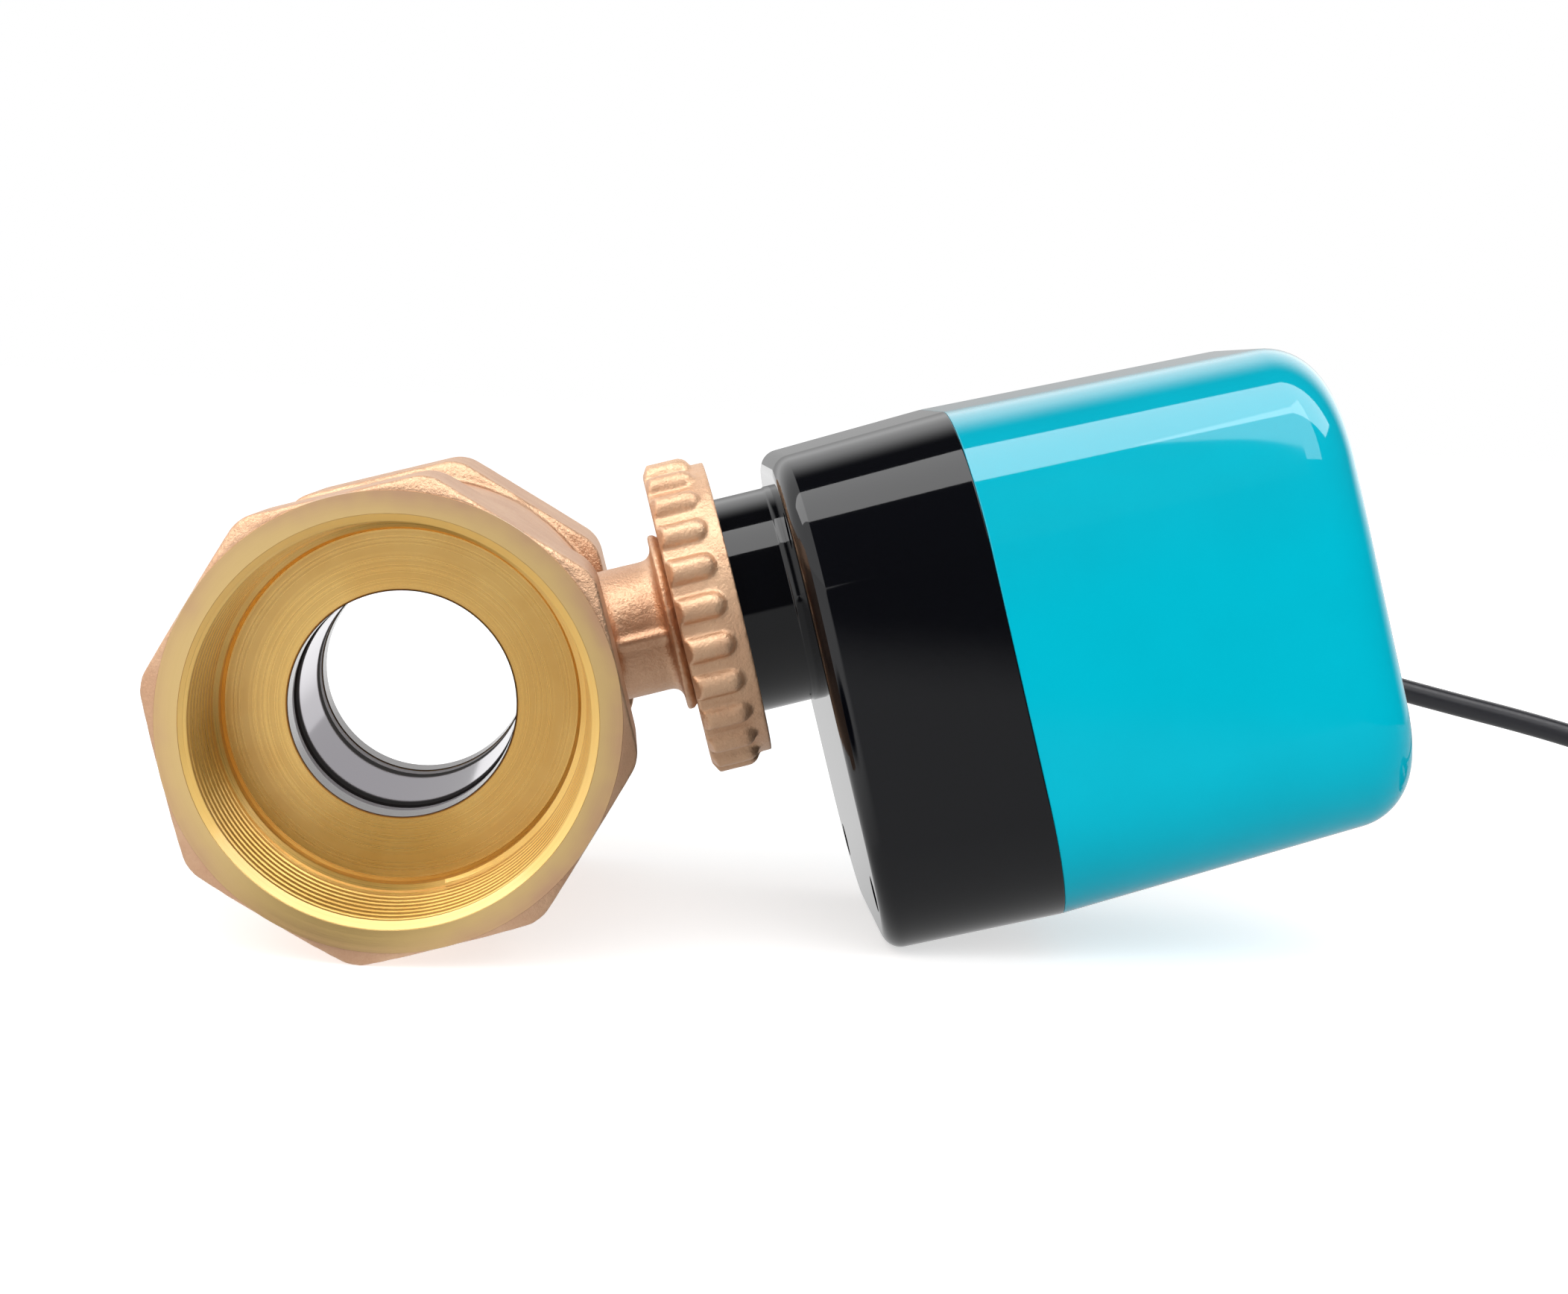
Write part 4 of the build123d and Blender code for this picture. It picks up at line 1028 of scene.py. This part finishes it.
def drawn(height, inset, stops, way=1):
    """Takes the plan face through (inset, rise) stops, which leaves a skin behind it."""
    bm = housing_face(height, inset)
    bm.faces.ensure_lookup_table()
    last = bm.faces[0]
    last_inset, last_rise = inset, 0.0
    for stop_inset, rise in stops:
        bmesh.ops.inset_region(
            bm,
            faces=[last],
            thickness=(stop_inset - last_inset) * mm,
            use_even_offset=True,
            use_boundary=True,
        )
        lift = (0.0, 0.0, way * (rise - last_rise) * mm)
        bmesh.ops.translate(bm, vec=lift, verts=last.verts)
        last_inset, last_rise = stop_inset, rise
    return bm, last


def half_stops(start, height, draft, rounding, steps, inset=0.0):
    """Stops up the drafted wall from a start above the seam and round its far edge."""
    lean = radians(draft)
    end = height - rounding
    tangent = end + rounding * sin(lean)
    middle = (end * tan(lean)) + rounding / cos(lean)
    walls = 6
    stops = []
    for i in range(1, walls + 1):
        rise = start + (tangent - start) * i / walls
        stops.append((inset + rise * tan(lean), rise))
    for i in range(1, steps + 1):
        angle = lean + (pi / 2 - lean) * i / steps
        stops.append((inset + middle - rounding * cos(angle), end + rounding * sin(angle)))
    stops.append((inset + middle + 0.6, height))
    return stops


def housing_shell(height, way, draft, rounding, thickness):
    """One half of the housing with its wall and a softened edge at the seam."""
    equator = seam + way * seam_relief
    outer = half_stops(seam_relief, height, draft, rounding, outer_steps)
    outside, _ = drawn(equator, 0.0, [(i, r - seam_relief) for i, r in outer], way)
    stops = []
    for i in range(1, relief_steps + 1):
        turn = pi / 2 * i / relief_steps
        stops.append((seam_relief * (1 - cos(turn)), -seam_relief * sin(turn)))
    stops.append((wall, -seam_relief))
    inner_round = max(rounding - wall, 1.0)
    inner = half_stops(0.0, height - thickness, draft, inner_round, inner_steps, wall)
    stops += [(i, r - seam_relief) for i, r in inner]
    inside, _ = drawn(equator, 0.0, stops, way)
    shell = together(outside, inside)
    bmesh.ops.remove_doubles(shell, verts=shell.verts, dist=1e-6)
    bmesh.ops.recalc_face_normals(shell, faces=shell.faces)
    return shell


def rim_ring(low, high, outer, inner):
    """A ring that follows the housing's plan between two insets."""
    ring, last = drawn(low, outer, [(outer, high - low), (inner, high - low), (inner, 0.0)])
    bmesh.ops.delete(ring, geom=[last], context="FACES_ONLY")
    open_edges = [edge for edge in ring.edges if len(edge.link_faces) == 1]
    bmesh.ops.bridge_loops(ring, edges=open_edges)
    bmesh.ops.recalc_face_normals(ring, faces=ring.faces)
    return ring


def at_gland(bm):
    """Turns a shape from the stem's axis to the gland's."""
    return moved(bm, Matrix.Translation((gland_x * mm, 0.0, gland_height * mm)) @ TO_OUTLET)


def make_cover():
    """The coloured shell with its posts, their pilot holes and the slot for the base's lip."""
    shell = housing_shell(cover_height, 1, cover_draft, cover_round, wall)
    margin = 0.2
    outer = half_stops(0.0, cover_height - margin, cover_draft, cover_round, outer_steps, margin)
    form, _ = drawn(seam, margin, outer)
    bmesh.ops.holes_fill(form, edges=[edge for edge in form.edges if edge.is_boundary])
    bmesh.ops.recalc_face_normals(form, faces=form.faces)
    posts = [bar(*cover_post, x, y) for x, y in post_places]
    posts = cut(together(*posts), [form], "INTERSECT")
    shell = cut(shell, [posts], "UNION")
    pilots = [bar(*cover_pilot, x, y) for x, y in post_places]
    shell = cut(shell, [together(rim_ring(*lip_slot), *pilots)])
    piece("cover_shell", shell, "valve", "teal_plastic", ("cover",), smooth=housing_creases)


def make_base():
    """The black shell with its collar, gland pad, posts and lip, and the ways through them."""
    shell = housing_shell(base_height, -1, base_draft, base_round, floor_thickness)
    collar = spun(collar_profile, 96)
    pad = at_gland(spun(gland_pad_profile, 64))
    posts = [bar(*base_post, x, y) for x, y in post_places]
    posts += [bar(*plate_post, x, y) for x, y in plate_post_places]
    posts.append(bar(*idler_boss, *idler_place))
    shell = cut(shell, [together(collar, pad, rim_ring(*lip), *posts)], "UNION")
    ways = [bar(*screw_well, x, y) for x, y in post_places]
    ways += [bar(*plate_pilot, x, y) for x, y in plate_post_places]
    ways += [bar(*shaft_way, steps=64), bar(*idler_pin_hole, *idler_place)]
    ways.append(at_gland(bar(*gland_way)))
    fine = [bar(*screw_hole, x, y) for x, y in post_places]
    fine += [block(*lug_notches), spun(arc(wire_place, wire_radius, 0.0, 345.0, 23), 96)]
    shell = cut(shell, [together(*ways), together(*fine)])
    piece("base_shell", shell, "valve", "black_plastic", ("base_housing",), smooth=housing_creases)


make_world()
make_floor()
for lamp in lamps:
    softbox(*lamp)
bpy.context.scene.view_settings.view_transform = "Standard"
make_cable()
make_castings()
make_union_nut()
make_ball()
make_seats()
make_cover()
make_base()
